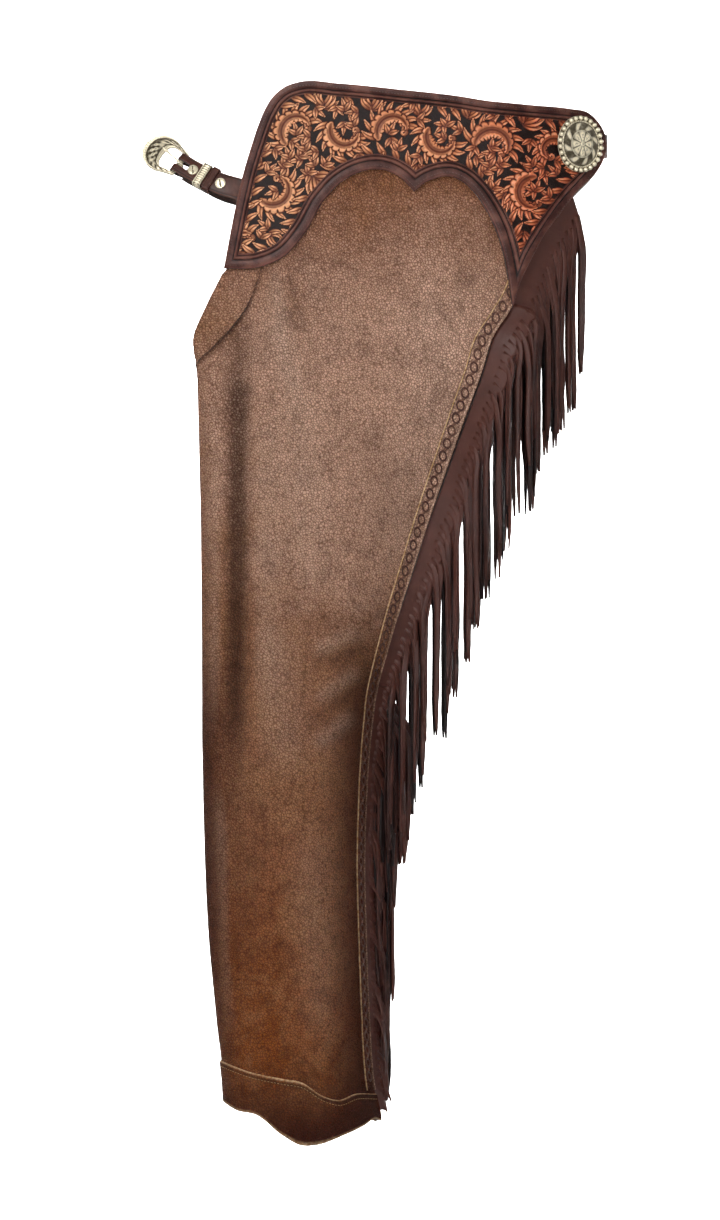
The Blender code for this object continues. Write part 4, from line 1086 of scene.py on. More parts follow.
@dataclass(frozen=True)
class Leg(Sided):
    """One leg: its front and back panels, seam stitching, laced strip, and hem bands."""

    fineness: float = 1.0
    form: LegForm = field(default_factory=LegForm)
    leather: float = 2.2
    strip_leather: float = 1.3
    hem_leather: float = 1.5
    worn_edge_x: float = -120.0
    strip_z: tuple[float, float] = (-190.0, -1015.0)
    tip_z: float = -226.0
    tuck: float = 0.44
    lacing_pitch: float = 13.6
    lacing_centre: float = 10.2
    strip_stitches: float = 16.4
    hem_stitches: float = 5.5
    # Across the strip from its raw edge to the seam: distance from the seam, and height.
    strip_profile: tuple = ((19.0, 0.3), (18.8, 1.2), (18.4, 1.6), (17.9, 1.6), (17.4, 0.8), (16.0, 0.9),
                            (13.8, 0.9), (11.2, 0.85), (9.0, 0.8), (6.8, 0.8), (5.2, 0.75), (4.2, 0.7),
                            (3.4, 1.3), (2.5, 1.8), (1.5, 1.5), (0.5, 0.4))
    # The thongs' slanting links and the knots between them: half sizes along, across and out, and slant.
    lacing: tuple = (("links", (5.0, 3.5, 0.85), 32.0, 0.35), ("knots", (2.3, 1.5, 0.8), -35.0, 0.95))
    hem_tops: tuple = ((-182, -983), (-155, -993), (-122, -1000), (-103, -1004), (-86, -1017), (-72, -1022),
                       (-52, -1017), (-34, -1019))
    # Each from x, z to x, z, then width, depth and bow.
    front_creases: tuple = (
        Seam(((-146, -180), (-152, -210), (-164, -233), (-179, -253), (-197, -270), (-212, -284))),
        *(Crease(*row) for row in (
            (-166, -222, -171, -720, 12, 7.0), (-189, -300, -190, -660, 8, -2.6),
            (-134, -184, -104, -330, 12, -5.0, 5), (-142, -320, -138, -640, 15, -2.4),
            (-119, -186, -97, -262, 6, 2.4), (-142, -186, -128, -250, 6, 2.0), (-100, -178, -82, -236, 7, -1.4),
            (-104, -300, -100, -520, 22, -2.6), (-92, -572, -42, -548, 9, -2.8), (-82, -584, -36, -566, 5, 1.8),
            (-90, -622, -44, -588, 8, -2.6), (-84, -634, -46, -610, 5, 1.8), (-92, -668, -50, -632, 9, -2.4),
            (-128, -540, -118, -700, 24, -2.0), (-186, -700, -176, -960, 8, -2.0),
            (-150, -700, -168, -930, 20, 1.8), (-96, -740, -84, -980, 22, -1.6), (20, -250, 48, -330, 14, 1.3),
            (-40, -330, -10, -470, 24, 1.2), (-186, -268, -150, -300, 8, -1.6), (-192, -300, -160, -345, 9, 1.4))))
    back_creases: tuple = tuple(Crease(*row) for row in (
        (-180, -330, -168, -620, 12, 3.2), (-120, -320, -96, -520, 20, -2.4), (-80, -560, -46, -580, 10, 2.4),
        (-90, -640, -50, -606, 9, -2.0), (-150, -690, -160, -940, 20, 2.0), (-100, -760, -88, -980, 18, -1.8),
        (-30, -330, 30, -300, 12, 2.2), (-60, -380, 10, -340, 14, -1.8)))

    def panel(self, outer: bool) -> Panel:
        """The front (outer) or back panel."""
        columns, rows = (124, 224) if outer else (64, 150)
        return Panel(self.form, outer, int(columns * self.fineness), int(rows * self.fineness),
                     self.front_creases if outer else self.back_creases)

    def dress_panel(self, name: str, panel: Panel) -> None:
        """Builds one panel as a sheet with grain side, flesh side and cut edge."""
        grid, q, z = panel.grid()
        measure = panel.measure(q, z)
        # Painted shade in the troughs and seams and painted highlight on the ridges, weighted for each crease.
        sunk = sum(crease.press(grid[..., 0], z) * crease.mark for crease in panel.creases)
        obj = sheet_mesh(self.named(f"{name}_leather"), grid, self.side,
                         {"wear": 0.8 * ease(np.abs(measure), 0.985, 1.0) * (grid[..., 0] < self.worn_edge_x),
                          "sunk": np.clip(sunk, 0, 1), "raised": np.clip(-1.3 * sunk, 0, 1)}, turned=True)
        hand_over(obj, "leg_leather", (self.finishes.pebbled, self.finishes.flesh, self.finishes.dark_edge),
                  self.named(name), wall=self.leather)
        flat, area = flat_size(grid)
        self.named("yoke_leather")
        LOG.info("%s: cut %.3f by %.3f m, %.3f m2", obj.name, *flat, area)

    def tucked(self, z: Array) -> Array:
        """How far the strip's places shift to the seam where it slips under the yoke's border."""
        return self.tuck * np.maximum(z - self.tip_z, 0)

    def laced_strip(self, panel: Panel) -> None:
        """The strip on the outer seam: a band with a raw raised edge, a round ridge beside the fringe, and
        a row of stitches. Across, the band's height follows its profile."""
        z = np.linspace(*self.strip_z, int(260 * self.fineness))
        across, height = np.array(self.strip_profile).T
        share = self.shares(panel, z, np.maximum(across - self.tucked(z)[:, None], 0.3 + 0.01 * across))
        wave = 0.12 * noise(21, z[:, None] / 9, across[None] / 9)
        grid = panel.at(share, z[:, None], 1.0 + height[None] + wave)
        wear = np.where((across > 17.8) & (across < 18.9), 1.0, 0.0)
        # Painted shade in the band's two grooves, and a painted highlight on the round ridge beside the fringe.
        groove = np.exp(-(((across - 17.2) / 0.5) ** 2)) + np.exp(-(((across - 4.4) / 0.8) ** 2))
        band = sheet_mesh(self.named("laced_strip"), grid, self.side,
                          {"wear": wear[None] * np.interp(z, (-640, -480), (0.5, 1.0))[:, None],
                           "sunk": np.clip(0.7 * groove, 0, 1)[None],
                           "raised": np.exp(-(((across - 2.4) / 1.1) ** 2))[None]}, turned=True)
        hand_over(band, "leg_leather", (self.finishes.pebbled, self.finishes.flesh), self.named("braid"),
                  wall=self.strip_leather)
        line = panel.at(self.shares(panel, z, np.full((len(z), 1), 9.4))[:, 0], z, 0.0)
        self.thongs(panel, line, z)
        share = panel.share_from_seam(z, np.array([self.strip_stitches, self.strip_stitches - 0.1]))[:, 0]
        shown = z < self.tip_z
        path, normal = panel.at(share, z, 2.75)[shown], panel.normal(share[shown], z[shown])
        hand_over(stitches(self.named("strip_stitches_1"), path, normal, self.side), "leg_leather",
                  (self.finishes.brown_thread,))

    def thongs(self, panel: Panel, line: Array, z: Array) -> None:
        """The lacing: a chain of slanting thong loops on the strip, with a small knot after each.

        Args:
            panel: The front panel.
            line: The strip's middle line.
            z: Its heights.
        """
        run = run_along(line)
        start = float(np.interp(-self.tip_z - 14, -z, run))
        for k, (name, size, slant, crest) in enumerate(self.lacing):
            s = np.arange(start + k * self.lacing_pitch / 2, run[-1] - 8, self.lacing_pitch)
            level = np.interp(s, run, z)
            share = self.shares(panel, level, (self.lacing_centre - 0.6 * k - self.tucked(level))[:, None])[:, 0]
            centre, normal = panel.at(share, level, 2.15), panel.normal(share, level)
            along = unit(panel.at(share, level - 1.0, 2.0) - centre)
            along = unit(along - normal * (along * normal).sum(1, keepdims=True))
            aside = np.cross(normal, along)
            cos, sin = math.cos(math.radians(slant)), math.sin(math.radians(slant))
            axes = np.stack([(along * cos + aside * sin) * size[0], (aside * cos - along * sin) * size[1],
                             normal * size[2]], 1)
            shape, quads = link() if name == "links" else ball(5, 8)
            thongs = many(self.named(f"lacing_{name}"), shape, quads, centre, axes, self.side,
                          {"crest": np.full(len(s), crest)})
            hand_over(thongs, "leg_leather", (self.finishes.thong,))

    def shares(self, panel: Panel, z: Array, distance: Array) -> Array:
        """The shares across at distances from the outer seam that differ from height to height."""
        scale = np.array([0.0, 4.0, 9.0, 14.0, 22.0])
        rows = panel.share_from_seam(z, scale)
        return np.stack([np.interp(wanted, scale, row) for wanted, row in zip(distance, rows)])

    def hem(self, name: str, panel: Panel) -> None:
        """A hem band: a strip whose upper edge is cut in a long wave, with a row of stitches under it."""
        q = np.linspace(0.002, 0.998, int(130 * self.fineness))
        high = through(self.hem_tops, panel.at(q, -1000.0)[..., 0])
        low = panel.edge(q, False) - 0.6
        v = np.concatenate([np.linspace(0, 0.14, 8), np.linspace(0.2, 1, 11)])[:, None]
        edge = 0.3 + 1.25 * ease(v, 0.0, 0.04)
        ripple = 0.25 * noise(31, q[None] * 14, v * 3.0)
        grid = panel.at(q[None], high[None] + (low - high)[None] * v, 0.5 + edge + ripple)
        # A line of painted shade runs just under the band's cut top edge.
        band = sheet_mesh(self.named(f"hem_band_{name}"), grid, self.side,
                          {"wear": 0.9 * (1 - ease(v, 0.0, 0.05)) + 0.6 * ease(v, 0.98, 1.0),
                           "sunk": 0.8 * np.exp(-(((v - 0.085) / 0.03) ** 2))}, turned=True)
        hand_over(band, "leg_leather", (self.finishes.pebbled, self.finishes.flesh, self.finishes.raw_edge),
                  self.named(f"hem_{name}"), wall=self.hem_leather)
        line = high - self.hem_stitches
        sewing = stitches(self.named(f"hem_stitches_{name}"), panel.at(q, line, 2.1), panel.normal(q, line), self.side)
        hand_over(sewing, "leg_leather", (self.finishes.tan_thread,))

    def gusset_stitching(self, panel: Panel) -> None:
        """Two rows of stitches beside the seam that joins the front panel to the gusset."""
        z = np.linspace(-186, -1018, 900)
        for n, distance in enumerate((3.0, 6.5), 1):
            q = np.full_like(z, distance / 560.0)
            sewing = stitches(self.named(f"gusset_stitches_{n}"), panel.at(q, z, 0.15), panel.normal(q, z), self.side,
                              3.6, 2.6, 0.5)
            hand_over(sewing, "leg_leather", (self.finishes.brown_thread,))

    def build(self) -> None:
        """Makes every piece of the leg."""
        front, back = self.panel(True), self.panel(False)
        self.laced_strip(front)
        self.hem("front", front)
        self.hem("back", back)
        self.gusset_stitching(front)
        self.dress_panel("leg_front", front)
        self.dress_panel("leg_back", back)
        LOG.info("leg %s: panels, hems, strip and lacing", self.side.value)


# ---------------------------------------------------------------- the yoke
def line_distance(points: Array, line: Array) -> tuple[Array, Array, Array]:
    """Distance from points to a line of segments.

    Args:
        points: N rows of two numbers.
        line: M rows of two numbers.

    Returns:
        For each point the distance, its sign (above 0 to the right of the heading), and the share of
        the line's length where it is nearest.
    """
    a, b = line[:-1], line[1:]
    run = run_along(line)
    span = b - a
    length2 = np.maximum((span**2).sum(1), 1e-12)
    best = np.full(len(points), 1e9)
    sign, share = np.ones(len(points)), np.zeros(len(points))
    for k in range(len(span)):
        off = points - a[k]
        t = np.clip((off @ span[k]) / length2[k], 0, 1)
        away = off - t[:, None] * span[k]
        distance = np.hypot(away[:, 0], away[:, 1])
        closer = distance < best
        best = np.where(closer, distance, best)
        turn = span[k, 1] * off[:, 0] - span[k, 0] * off[:, 1]
        sign = np.where(closer, np.where(turn >= 0, 1.0, -1.0), sign)
        share = np.where(closer, (run[k] + t * (run[k + 1] - run[k])) / run[-1], share)
    return best, sign, share


@dataclass
class Tooling:
    """A carved field under way: height, leaf mask, cut depth and painted light (rise) at flat places x, z."""

    x: Array
    z: Array
    height: Array = field(init=False)
    leaf: Array = field(init=False)
    cut: Array = field(init=False)
    # Painted light on the leaves: dark at roots and veins, pale towards rims and tips, one side lit more.
    rise: Array = field(init=False)

    def __post_init__(self) -> None:
        """Starts with the bare ground."""
        self.height = np.full_like(self.x, -0.1)
        self.leaf, self.cut, self.rise = (np.zeros_like(self.x) for _ in range(3))

    def near(self, line: Array, reach: float) -> Array:
        """The places within reach of the line's box."""
        low, high = line.min(0) - reach, line.max(0) + reach
        return (self.x > low[0]) & (self.x < high[0]) & (self.z > low[1]) & (self.z < high[1])

    def stroke(self, spine: Array, width: float, shape: str = "petal", top: float = 1.2, vein: float = 0.5,
               scallops: int = 0, taper: float = 1.0) -> None:
        """Lays one carved shape over what is there.

        Its edge stands at width times a profile along the spine; inside, the height falls from the edge
        towards the vein, and a dark cut runs round it.

        Args:
            spine: The middle line, rows of x and z.
            width: Half the greatest width.
            shape: petal (full in the middle), stem (even), or leaf (full near its root).
            top: Height of its crown.
            vein: Depth of the middle groove, as a share of the crown.
            scallops: How many lobes its edge has.
            taper: How fast it narrows towards the end.
        """
        line = resample(spine, 40)
        chosen = self.near(line, width * 1.5 + 2)
        places = np.stack([self.x[chosen], self.z[chosen]], 1)
        distance, sign, share = line_distance(places, line)
        if shape == "petal":
            profile = np.sin(math.pi * np.clip(share, 0.02, 1) ** 0.62) ** 0.75
        elif shape == "stem":
            profile = 1 - 0.55 * share**taper
        else:
            profile = (1 - share**2.2) ** 0.8 * (0.45 + 0.55 * ease(share, 0, 0.25))
        reach = width * np.maximum(profile, 0.02)
        if scallops:
            phase = share * scallops + 0.25 * np.clip(distance / width, 0, 1)
            lobe = np.abs(np.sin(math.pi * phase)) ** 0.6
            reach = reach * (0.72 + 0.28 * lobe)
        ratio = distance / reach
        inside = ratio < 1
        slope = np.clip(1 - ratio, 0, 1)
        crown = top * ease(slope, 0.0, 0.42) * (1 - 0.42 * ease(slope, 0.45, 1.0))
        groove = vein * np.exp(-((distance / 0.8) ** 2)) * ease(share, 0.02, 0.10) * (1 - ease(share, 0.80, 0.95))
        second = 0.7 * vein * np.exp(-(((distance - 2.6) / 0.6) ** 2)) * (width > 5) * (profile > 0.6)
        hatch, punch = np.zeros_like(ratio), np.zeros_like(ratio)
        if scallops:
            lines = np.maximum(np.sin(2 * math.pi * (share * scallops * 2.5 + 0.3 * ratio * sign)), 0)
            hatch = 0.5 * lines * ease(ratio, 0.38, 0.55) * (1 - ease(ratio, 0.86, 0.96))
            apart = np.abs(np.mod(phase + 0.5, 1) - 0.5)
            punch = np.exp(-((apart / 0.13) ** 2)) * np.exp(-(((ratio - 0.80) / 0.17) ** 2))
        rim = np.exp(-(((distance - reach) / 0.7) ** 2))
        cuts = np.clip(groove + second + 0.5 * hatch + punch, 0, 1)
        height = np.maximum(crown * (1 - 0.75 * cuts), 0.1)
        self.height[chosen] = np.where(inside, height, self.height[chosen] - 0.3 * rim)
        self.leaf[chosen] = np.where(inside, 1.0, self.leaf[chosen])
        # Painted light: each facet paler towards its rim or tip and dark right at its edge, one side of the spine lit
        # more, painted shade where a new rim crosses an old leaf.
        facet = 0.25 + 0.75 * ease(ratio, 0.1, 0.8) if scallops else 0.30 + 0.70 * ease(share, 0.05, 0.75)
        tone = np.clip(facet * ease(slope, 0.0, 0.25) * (1 + 0.18 * sign), 0, 1)
        self.rise[chosen] = np.where(inside, tone, self.rise[chosen] * (1 - 0.7 * rim))
        cut = np.clip(0.9 * rim * (ratio > 0.85) + cuts, 0, 1)
        self.cut[chosen] = np.where(inside, cut, np.maximum(self.cut[chosen], rim))

    def filled(self, place: Array, reach: float) -> float:
        """How much of the field within reach of a place already carries leaves."""
        near = (self.x - place[0]) ** 2 + (self.z - place[1]) ** 2 < reach**2
        return float(self.leaf[near].mean()) if near.any() else 1.0


@dataclass(frozen=True)
class Yoke(Sided):
    """One hip yoke: its base, its ridged and stitched border, and its carved inlay."""

    cell: float = 0.75
    hip: HipForm = field(default_factory=HipForm)
    outer: tuple = ((-181, -187), (-168, -120), (-161, -90), (-152, -60), (-147, -45), (-141, -30), (-132, -15),
                    (-120, -5), (-105, 0), (-64, -2), (-5, -8), (57, -15), (75, -18), (120, -22), (165, -24.5),
                    (182, -27), (194, -37), (201, -50), (202, -65), (196, -81), (186, -94), (172, -108),
                    (154, -131), (137, -155), (123, -182), (112.5, -205), (107, -226))
    right_lobe: tuple = ((107, -226), (105, -212), (102, -191), (97, -167), (90, -146), (81, -128), (70, -112),
                         (57, -100), (45, -95), (31, -97), (18, -103), (9.5, -110.5))
    left_lobe: tuple = ((9.5, -110.5), (-5, -96), (-20, -89), (-32, -88), (-48, -92), (-65, -102), (-81, -119),
                        (-101, -153), (-122, -176), (-146, -186), (-181, -187))
    border_widths: tuple[float, float, float] = (13.5, 15.5, 15.5)
    counts: tuple[int, int, int] = (350, 130, 140)
    rulings: tuple = (-150, -110, -70, -25, 20, 50, 70, 82, 94, 104, 114, 124, 134, 148, 165, 185)
    seat: float = 3.75
    # From the outer edge in: share of the width, height in mm, and crest (1 rubbed with a painted highlight, 0 a
    # groove in painted shade).
    profile: tuple = ((0.0, 0.1, 0.5), (0.02, 0.55, 0.7), (0.06, 0.9, 0.8), (0.14, 1.15, 0.6), (0.26, 1.3, 0.55),
                      (0.38, 1.3, 0.5), (0.47, 1.1, 0.5), (0.52, 0.75, 0.3), (0.55, 0.35, 0.05), (0.58, 0.45, 0.1),
                      (0.62, 1.5, 0.5), (0.67, 2.5, 0.85), (0.72, 2.85, 1.0), (0.77, 2.5, 0.75), (0.82, 1.5, 0.4),
                      (0.855, 0.5, 0.05), (0.88, 0.45, 0.05), (0.905, 1.1, 0.6), (0.94, 1.35, 0.75),
                      (0.97, 1.0, 0.5), (1.0, 0.3, 0.1))
    # Crescent leaves: place, radius, start, sweep, half width. Sprays: place, heading, petals, length.
    leaves: tuple = ((-157, -163, 15.0, 262, -205, 8.5), (-131, -106, 18.0, 228, 200, 10.0),
                     (-106, -50, 17.5, 222, -205, 9.5), (-58, -49, 17.0, 158, 200, 9.5),
                     (-10, -51, 17.5, 200, -200, 9.5), (38, -56, 17.0, 152, 200, 9.5),
                     (88, -66, 18.5, 168, -205, 10.5), (128, -112, 18.0, 92, 200, 10.0),
                     (147, -68, 13.0, 30, 215, 7.5), (133, -164, 11.0, 120, -210, 6.5))
    fans: tuple = ((-184, -188, 62, 5, 30), (-136, -152, -38, 4, 18), (-176, -122, 105, 5, 30),
                   (-150, -56, 105, 5, 30), (-90, -94, -60, 5, 26), (-82, -26, 70, 5, 22), (-34, -80, -70, 4, 20),
                   (-34, -28, 75, 5, 22), (14, -34, 70, 4, 20), (14, -84, -92, 5, 20), (62, -86, -100, 4, 20),
                   (62, -36, 60, 4, 20), (116, -40, 35, 5, 26), (100, -112, -125, 4, 22), (154, -112, -42, 5, 28),
                   (118, -150, -110, 4, 20), (150, -144, -64, 4, 24), (134, -190, -92, 5, 28), (172, -52, 25, 4, 18))

    def loops(self) -> tuple[Array, Array]:
        """The outline and the border's inner edge, point for point."""
        sides = [resample(side, 260) for side in (self.outer, self.right_lobe, self.left_lobe)]
        moved = []
        for line, width in zip(sides, self.border_widths):
            heading = unit(np.gradient(line, axis=0))
            moved.append(line + np.stack([heading[:, 1], -heading[:, 0]], 1) * width)
        starts, ends = {}, {}
        for k in range(3):
            ends[k], starts[(k + 1) % 3] = self.crossing(moved[k], moved[(k + 1) % 3])
        outer, inner = [], []
        for k, (line, shifted, count) in enumerate(zip(sides, moved, self.counts)):
            share = np.linspace(0, 1, count + 1)[:-1]
            places = starts[k] + (ends[k] - starts[k]) * share
            index = np.arange(len(line))
            inner.append(sample(shifted, index, places))
            places = places - starts[k] * (1 - share) ** 4 + (len(line) - 1 - ends[k]) * share**4
            outer.append(sample(line, index, places))
        return np.vstack(outer), np.vstack(inner)

    @staticmethod
    def crossing(first: Array, second: Array) -> tuple[float, float]:
        """Where the end of one line crosses the start of the next, counted in points along each."""
        a, b = np.diff(first, axis=0)[:, None], np.diff(second, axis=0)[None]
        gap = second[None, :-1] - first[:-1, None]
        span = a[..., 0] * b[..., 1] - a[..., 1] * b[..., 0]
        span = np.where(np.abs(span) < 1e-9, 1e9, span)
        s = (gap[..., 0] * b[..., 1] - gap[..., 1] * b[..., 0]) / span
        t = (gap[..., 0] * a[..., 1] - gap[..., 1] * a[..., 0]) / span
        hits = np.argwhere((s >= 0) & (s <= 1) & (t >= 0) & (t <= 1))
        i, j = hits[hits[:, 0].argmax()]
        return i + float(s[i, j]), j + float(t[i, j])

    def base(self, outer: Array) -> None:
        """The leather base: the outline filled, cut along the hip's rulings, and bent onto the hip."""
        net = bmesh.new()
        net.faces.new([net.verts.new((x, 0, z)) for x, z in outer[::2]]).normal_update()
        for x in np.unique(np.concatenate([self.rulings, np.arange(-170, 200, 8.0)])):
            bmesh.ops.bisect_plane(net, geom=net.verts[:] + net.edges[:] + net.faces[:], dist=1e-4,
                                   plane_co=(float(x), 0, 0), plane_no=(1, 0, 0))
        bmesh.ops.triangulate(net, faces=net.faces[:])
        flat = np.array([v.co for v in net.verts])
        bent = self.hip.at(flat[:, 0], flat[:, 2], np.zeros(len(flat))) * (1, self.side.sign, 1) * MM
        for vert, place in zip(net.verts, bent):
            vert.co = place
        bmesh.ops.recalc_face_normals(net, faces=net.faces[:])
        if sum(f.normal.y * f.calc_area() for f in net.faces) * self.side.sign > 0:
            bmesh.ops.reverse_faces(net, faces=net.faces[:])
        mesh = bpy.data.meshes.new(self.named("yoke_leather"))
        net.to_mesh(mesh)
        net.free()
        mesh.attributes.new("crest", "FLOAT", "POINT").data.foreach_set("value", np.full(len(mesh.vertices), 0.5))
        obj = bpy.data.objects.new(mesh.name, mesh)
        bpy.context.scene.collection.objects.link(obj)
        hand_over(obj, "dark_leather", (self.finishes.border, self.finishes.dark_flesh, self.finishes.dark_edge),
                  self.named("yoke_base"), wall=3.3, offset=1.0)

    def border(self, outer: Array, inner: Array) -> None:
        """The border: a band, a groove, a round ridge and a narrow bead carried round the outline,
        with a row of stitches on the band."""
        share, height, crest = np.array(self.profile).T
        flat = outer[:, None] + (inner - outer)[:, None] * share[None, :, None]
        length = np.linalg.norm(inner - outer, axis=1)[:, None]
        wear_and_sheen = noise(41, flat[..., 0] / 30, flat[..., 1] / 30)
        out = self.seat + height[None] + 0.10 * wear_and_sheen
        over = self.hip.at(flat[..., 0], flat[..., 1], out)
        under = self.hip.at(flat[:, ::-20, 0], flat[:, ::-20, 1], np.full((len(outer), 2), self.seat - 0.2))
        ring = np.concatenate([over, under], 1)
        rows, columns = ring.shape[:2]
        quads = grid_quads(rows, columns, ring=True, closed_rows=True)
        values = np.concatenate([np.clip(crest[None] + 0.12 * wear_and_sheen, 0, 1), np.full((rows, 2), 0.4)], 1)
        band = make_mesh(self.named("yoke_border"), ring, quads, self.side, {"crest": values.ravel()})
        hand_over(band, "dark_leather", (self.finishes.border,), self.named("yoke_frame"))
        middle = outer + (inner - outer) * np.minimum(4.6 / length, 0.5)
        middle = np.vstack([middle, middle[:1]])
        path = self.hip.at(middle[:, 0], middle[:, 1], np.full(len(middle), self.seat + 1.32))
        sewing = stitches(self.named("yoke_stitches"), path, self.hip.outward(middle[:, 0]), self.side, 3.1, 2.4, 0.62)
        hand_over(sewing, "dark_leather", (self.finishes.brown_thread,))

    def crescent(self, tool: Tooling, centre: tuple[float, float], radius: float, start: float, sweep: float,
                 width: float) -> None:
        """A crescent leaf: a winding body with a scalloped rim, long fingers outside and lobes inside.

        Its spine is an arc about the centre whose radius shrinks by a third towards its end.

        Args:
            tool: The field it is carved in.
            centre: The arc's centre.
            radius: The arc's first radius.
            start: The angle where it starts, in degrees.
            sweep: How far it turns, below 0 for clockwise.
            width: Half the body's width.
        """
        t = np.linspace(0, 1, 70)
        angle = np.radians(start + sweep * t)
        away = np.stack([np.cos(angle), np.sin(angle)], 1)
        spine = np.array(centre) + away * (radius * (1 - 0.34 * t**2))[:, None]
        heading = unit(np.gradient(spine, axis=0))
        for share in np.linspace(0.0, 0.86, 9):
            i = int(share * 69)
            reach = width * (1.95 - 0.45 * share)
            lean, late = unit(away[i] + heading[i] * 0.7), unit(away[i] * 0.7 + heading[i])
            tool.stroke(np.array([spine[i], spine[i] + lean * reach * 0.62, spine[i] + lean * reach * 0.6
                                  + late * reach * 0.45]), 3.5, "petal", 1.7, 0.8)
        for share in np.linspace(0.12, 0.80, 5):
            i = int(share * 69)
            back = unit(heading[i] * 0.9 - away[i])
            tool.stroke(np.array([spine[i], spine[i] + back * width * 0.9, spine[i] + back * width * 1.1
                                  + heading[i] * width * 0.5]), 2.3, "petal", 1.3, 0.7)
        tool.stroke(spine, width, "leaf", 2.2, 0.85, scallops=max(7, int(abs(sweep) * radius / 330)))
        turn = np.radians(np.linspace(0, 300, 30)) * np.sign(sweep) + angle[-1]
        curl = np.stack([np.cos(turn), np.sin(turn)], 1) * np.linspace(3.2, 0.8, 30)[:, None]
        curl = spine[-1] - away[-1] * 3.0 + curl
        tool.stroke(curl, 1.9, "stem", 1.9, 0.3)

    def carve(self, x: Array, z: Array, edge: Array) -> Tooling:
        """Crescent leaves along the inlay, sprays between them, and single petals along the border
        wherever the ground is still bare."""
        tool = Tooling(x, z)
        for fan_x, fan_z, angle, count, size in self.fans:
            root = np.array((fan_x, fan_z), float)
            for k in range(count):
                turn = math.radians(angle + (k - (count - 1) / 2) * 24)
                tip = np.array([math.cos(turn), math.sin(turn)]) * size * (1 - 0.10 * abs(k - (count - 1) / 2))
                bow = np.array([-tip[1], tip[0]]) * 0.14 * (1 if k >= count / 2 else -1)
                tool.stroke(np.array([root, root + tip * 0.55 + bow, root + tip]), size * 0.15, "petal", 1.7, 0.85)
        for centre_x, centre_z, radius, start, sweep, width in self.leaves:
            self.crescent(tool, (centre_x, centre_z), radius, start, sweep, width)
        ring = resample(np.vstack([edge, edge[:1]]), 150)
        along = unit(np.gradient(ring, axis=0))
        inward = np.stack([along[:, 1], -along[:, 0]], 1)
        for k in range(len(ring)):
            lean = unit(inward[k] + along[k] * (0.9 if k % 2 else -0.5))
            if tool.filled(ring[k] + lean * 6.5, 4.0) < 0.42:
                tool.stroke(np.array([ring[k] - lean, ring[k] + lean * 7 + along[k] * 1.2, ring[k] + lean * 15]), 3.3,
                            "petal", 1.5, 0.8)
        grid_x, grid_z = np.meshgrid(np.arange(-165, 195, 8.0), np.arange(-215, -15, 8.0))
        for k, place in enumerate(np.stack([grid_x.ravel(), grid_z.ravel()], 1)):
            if tool.filled(place, 5.0) < 0.16:
                turn = 2.4 * k + 0.02 * place[0]
                for spread, size in ((0.0, 9.0), (0.85, 7.0), (-0.85, 7.0)):
                    way = np.array([math.cos(turn + spread), math.sin(turn + spread)]) * size
                    root = place - np.array([math.cos(turn), math.sin(turn)]) * 6
                    tool.stroke(np.array([root, root + way * 0.8, root + way * 1.5]), 2.9, "petal", 1.4, 0.8)
        return tool

    def inlay(self, loop: Array) -> None:
        """The carved inlay: a fine grid over the hip, kept where it lies inside the border's loop, raised
        by the tooling."""
        low, high = loop.min(0) - self.cell, loop.max(0) + self.cell
        x, z = np.meshgrid(*(np.arange(low[k], high[k], self.cell) for k in (0, 1)))
        inside = self.within(x.ravel(), z.ravel(), loop).reshape(x.shape)
        grown = inside.copy()
        grown[1:] |= inside[:-1]
        grown[:-1] |= inside[1:]
        grown[:, 1:] |= grown[:, :-1].copy()
        grown[:, :-1] |= grown[:, 1:].copy()
        tool = self.carve(x.ravel(), z.ravel(), loop)
        out = self.seat + 0.35 + 0.85 * tool.height + 0.06 * noise(51, tool.x / 3, tool.z / 3)
        points = self.hip.at(tool.x, tool.z, out)
        quads = grid_quads(*x.shape)
        quads = quads[grown.ravel()[quads].all(1)]
        used, index = np.unique(quads, return_inverse=True)
        values = {"leaf": tool.leaf[used], "cut": tool.cut[used], "rise": tool.rise[used]}
        panel = make_mesh(self.named("yoke_carving"), points[used], index.reshape(-1, 4), self.side, values)
        hand_over(panel, "tooled_leather", (self.finishes.carved, self.finishes.dark_flesh, self.finishes.dark_edge),
                  self.named("yoke_panel"), wall=0.9)
        LOG.info("%s: %d faces", panel.name, len(panel.data.polygons))

    @staticmethod
    def within(x: Array, z: Array, loop: Array) -> Array:
        """Whether places lie inside a closed loop, by counting the edges above them."""
        inside = np.zeros(len(x), bool)
        for (ax, az), (bx, bz) in zip(loop, np.roll(loop, -1, axis=0)):
            if ax == bx:
                continue
            over = (x >= min(ax, bx)) & (x < max(ax, bx))
            level = az + (x - ax) * (bz - az) / (bx - ax)
            inside ^= over & (z < level)
        return inside

    def build(self) -> None:
        """Makes every piece of the yoke."""
        outer, inner = self.loops()
        self.base(outer)
        self.border(outer, inner)
        self.inlay(inner)


# ---------------------------------------------------------------- fringe
@dataclass(frozen=True)
class Roots:
    """Where a fringe's strands start: places on the sewn line and the directions there."""

    place: Array
    outward: Array
    flat: Array
    aside: Array


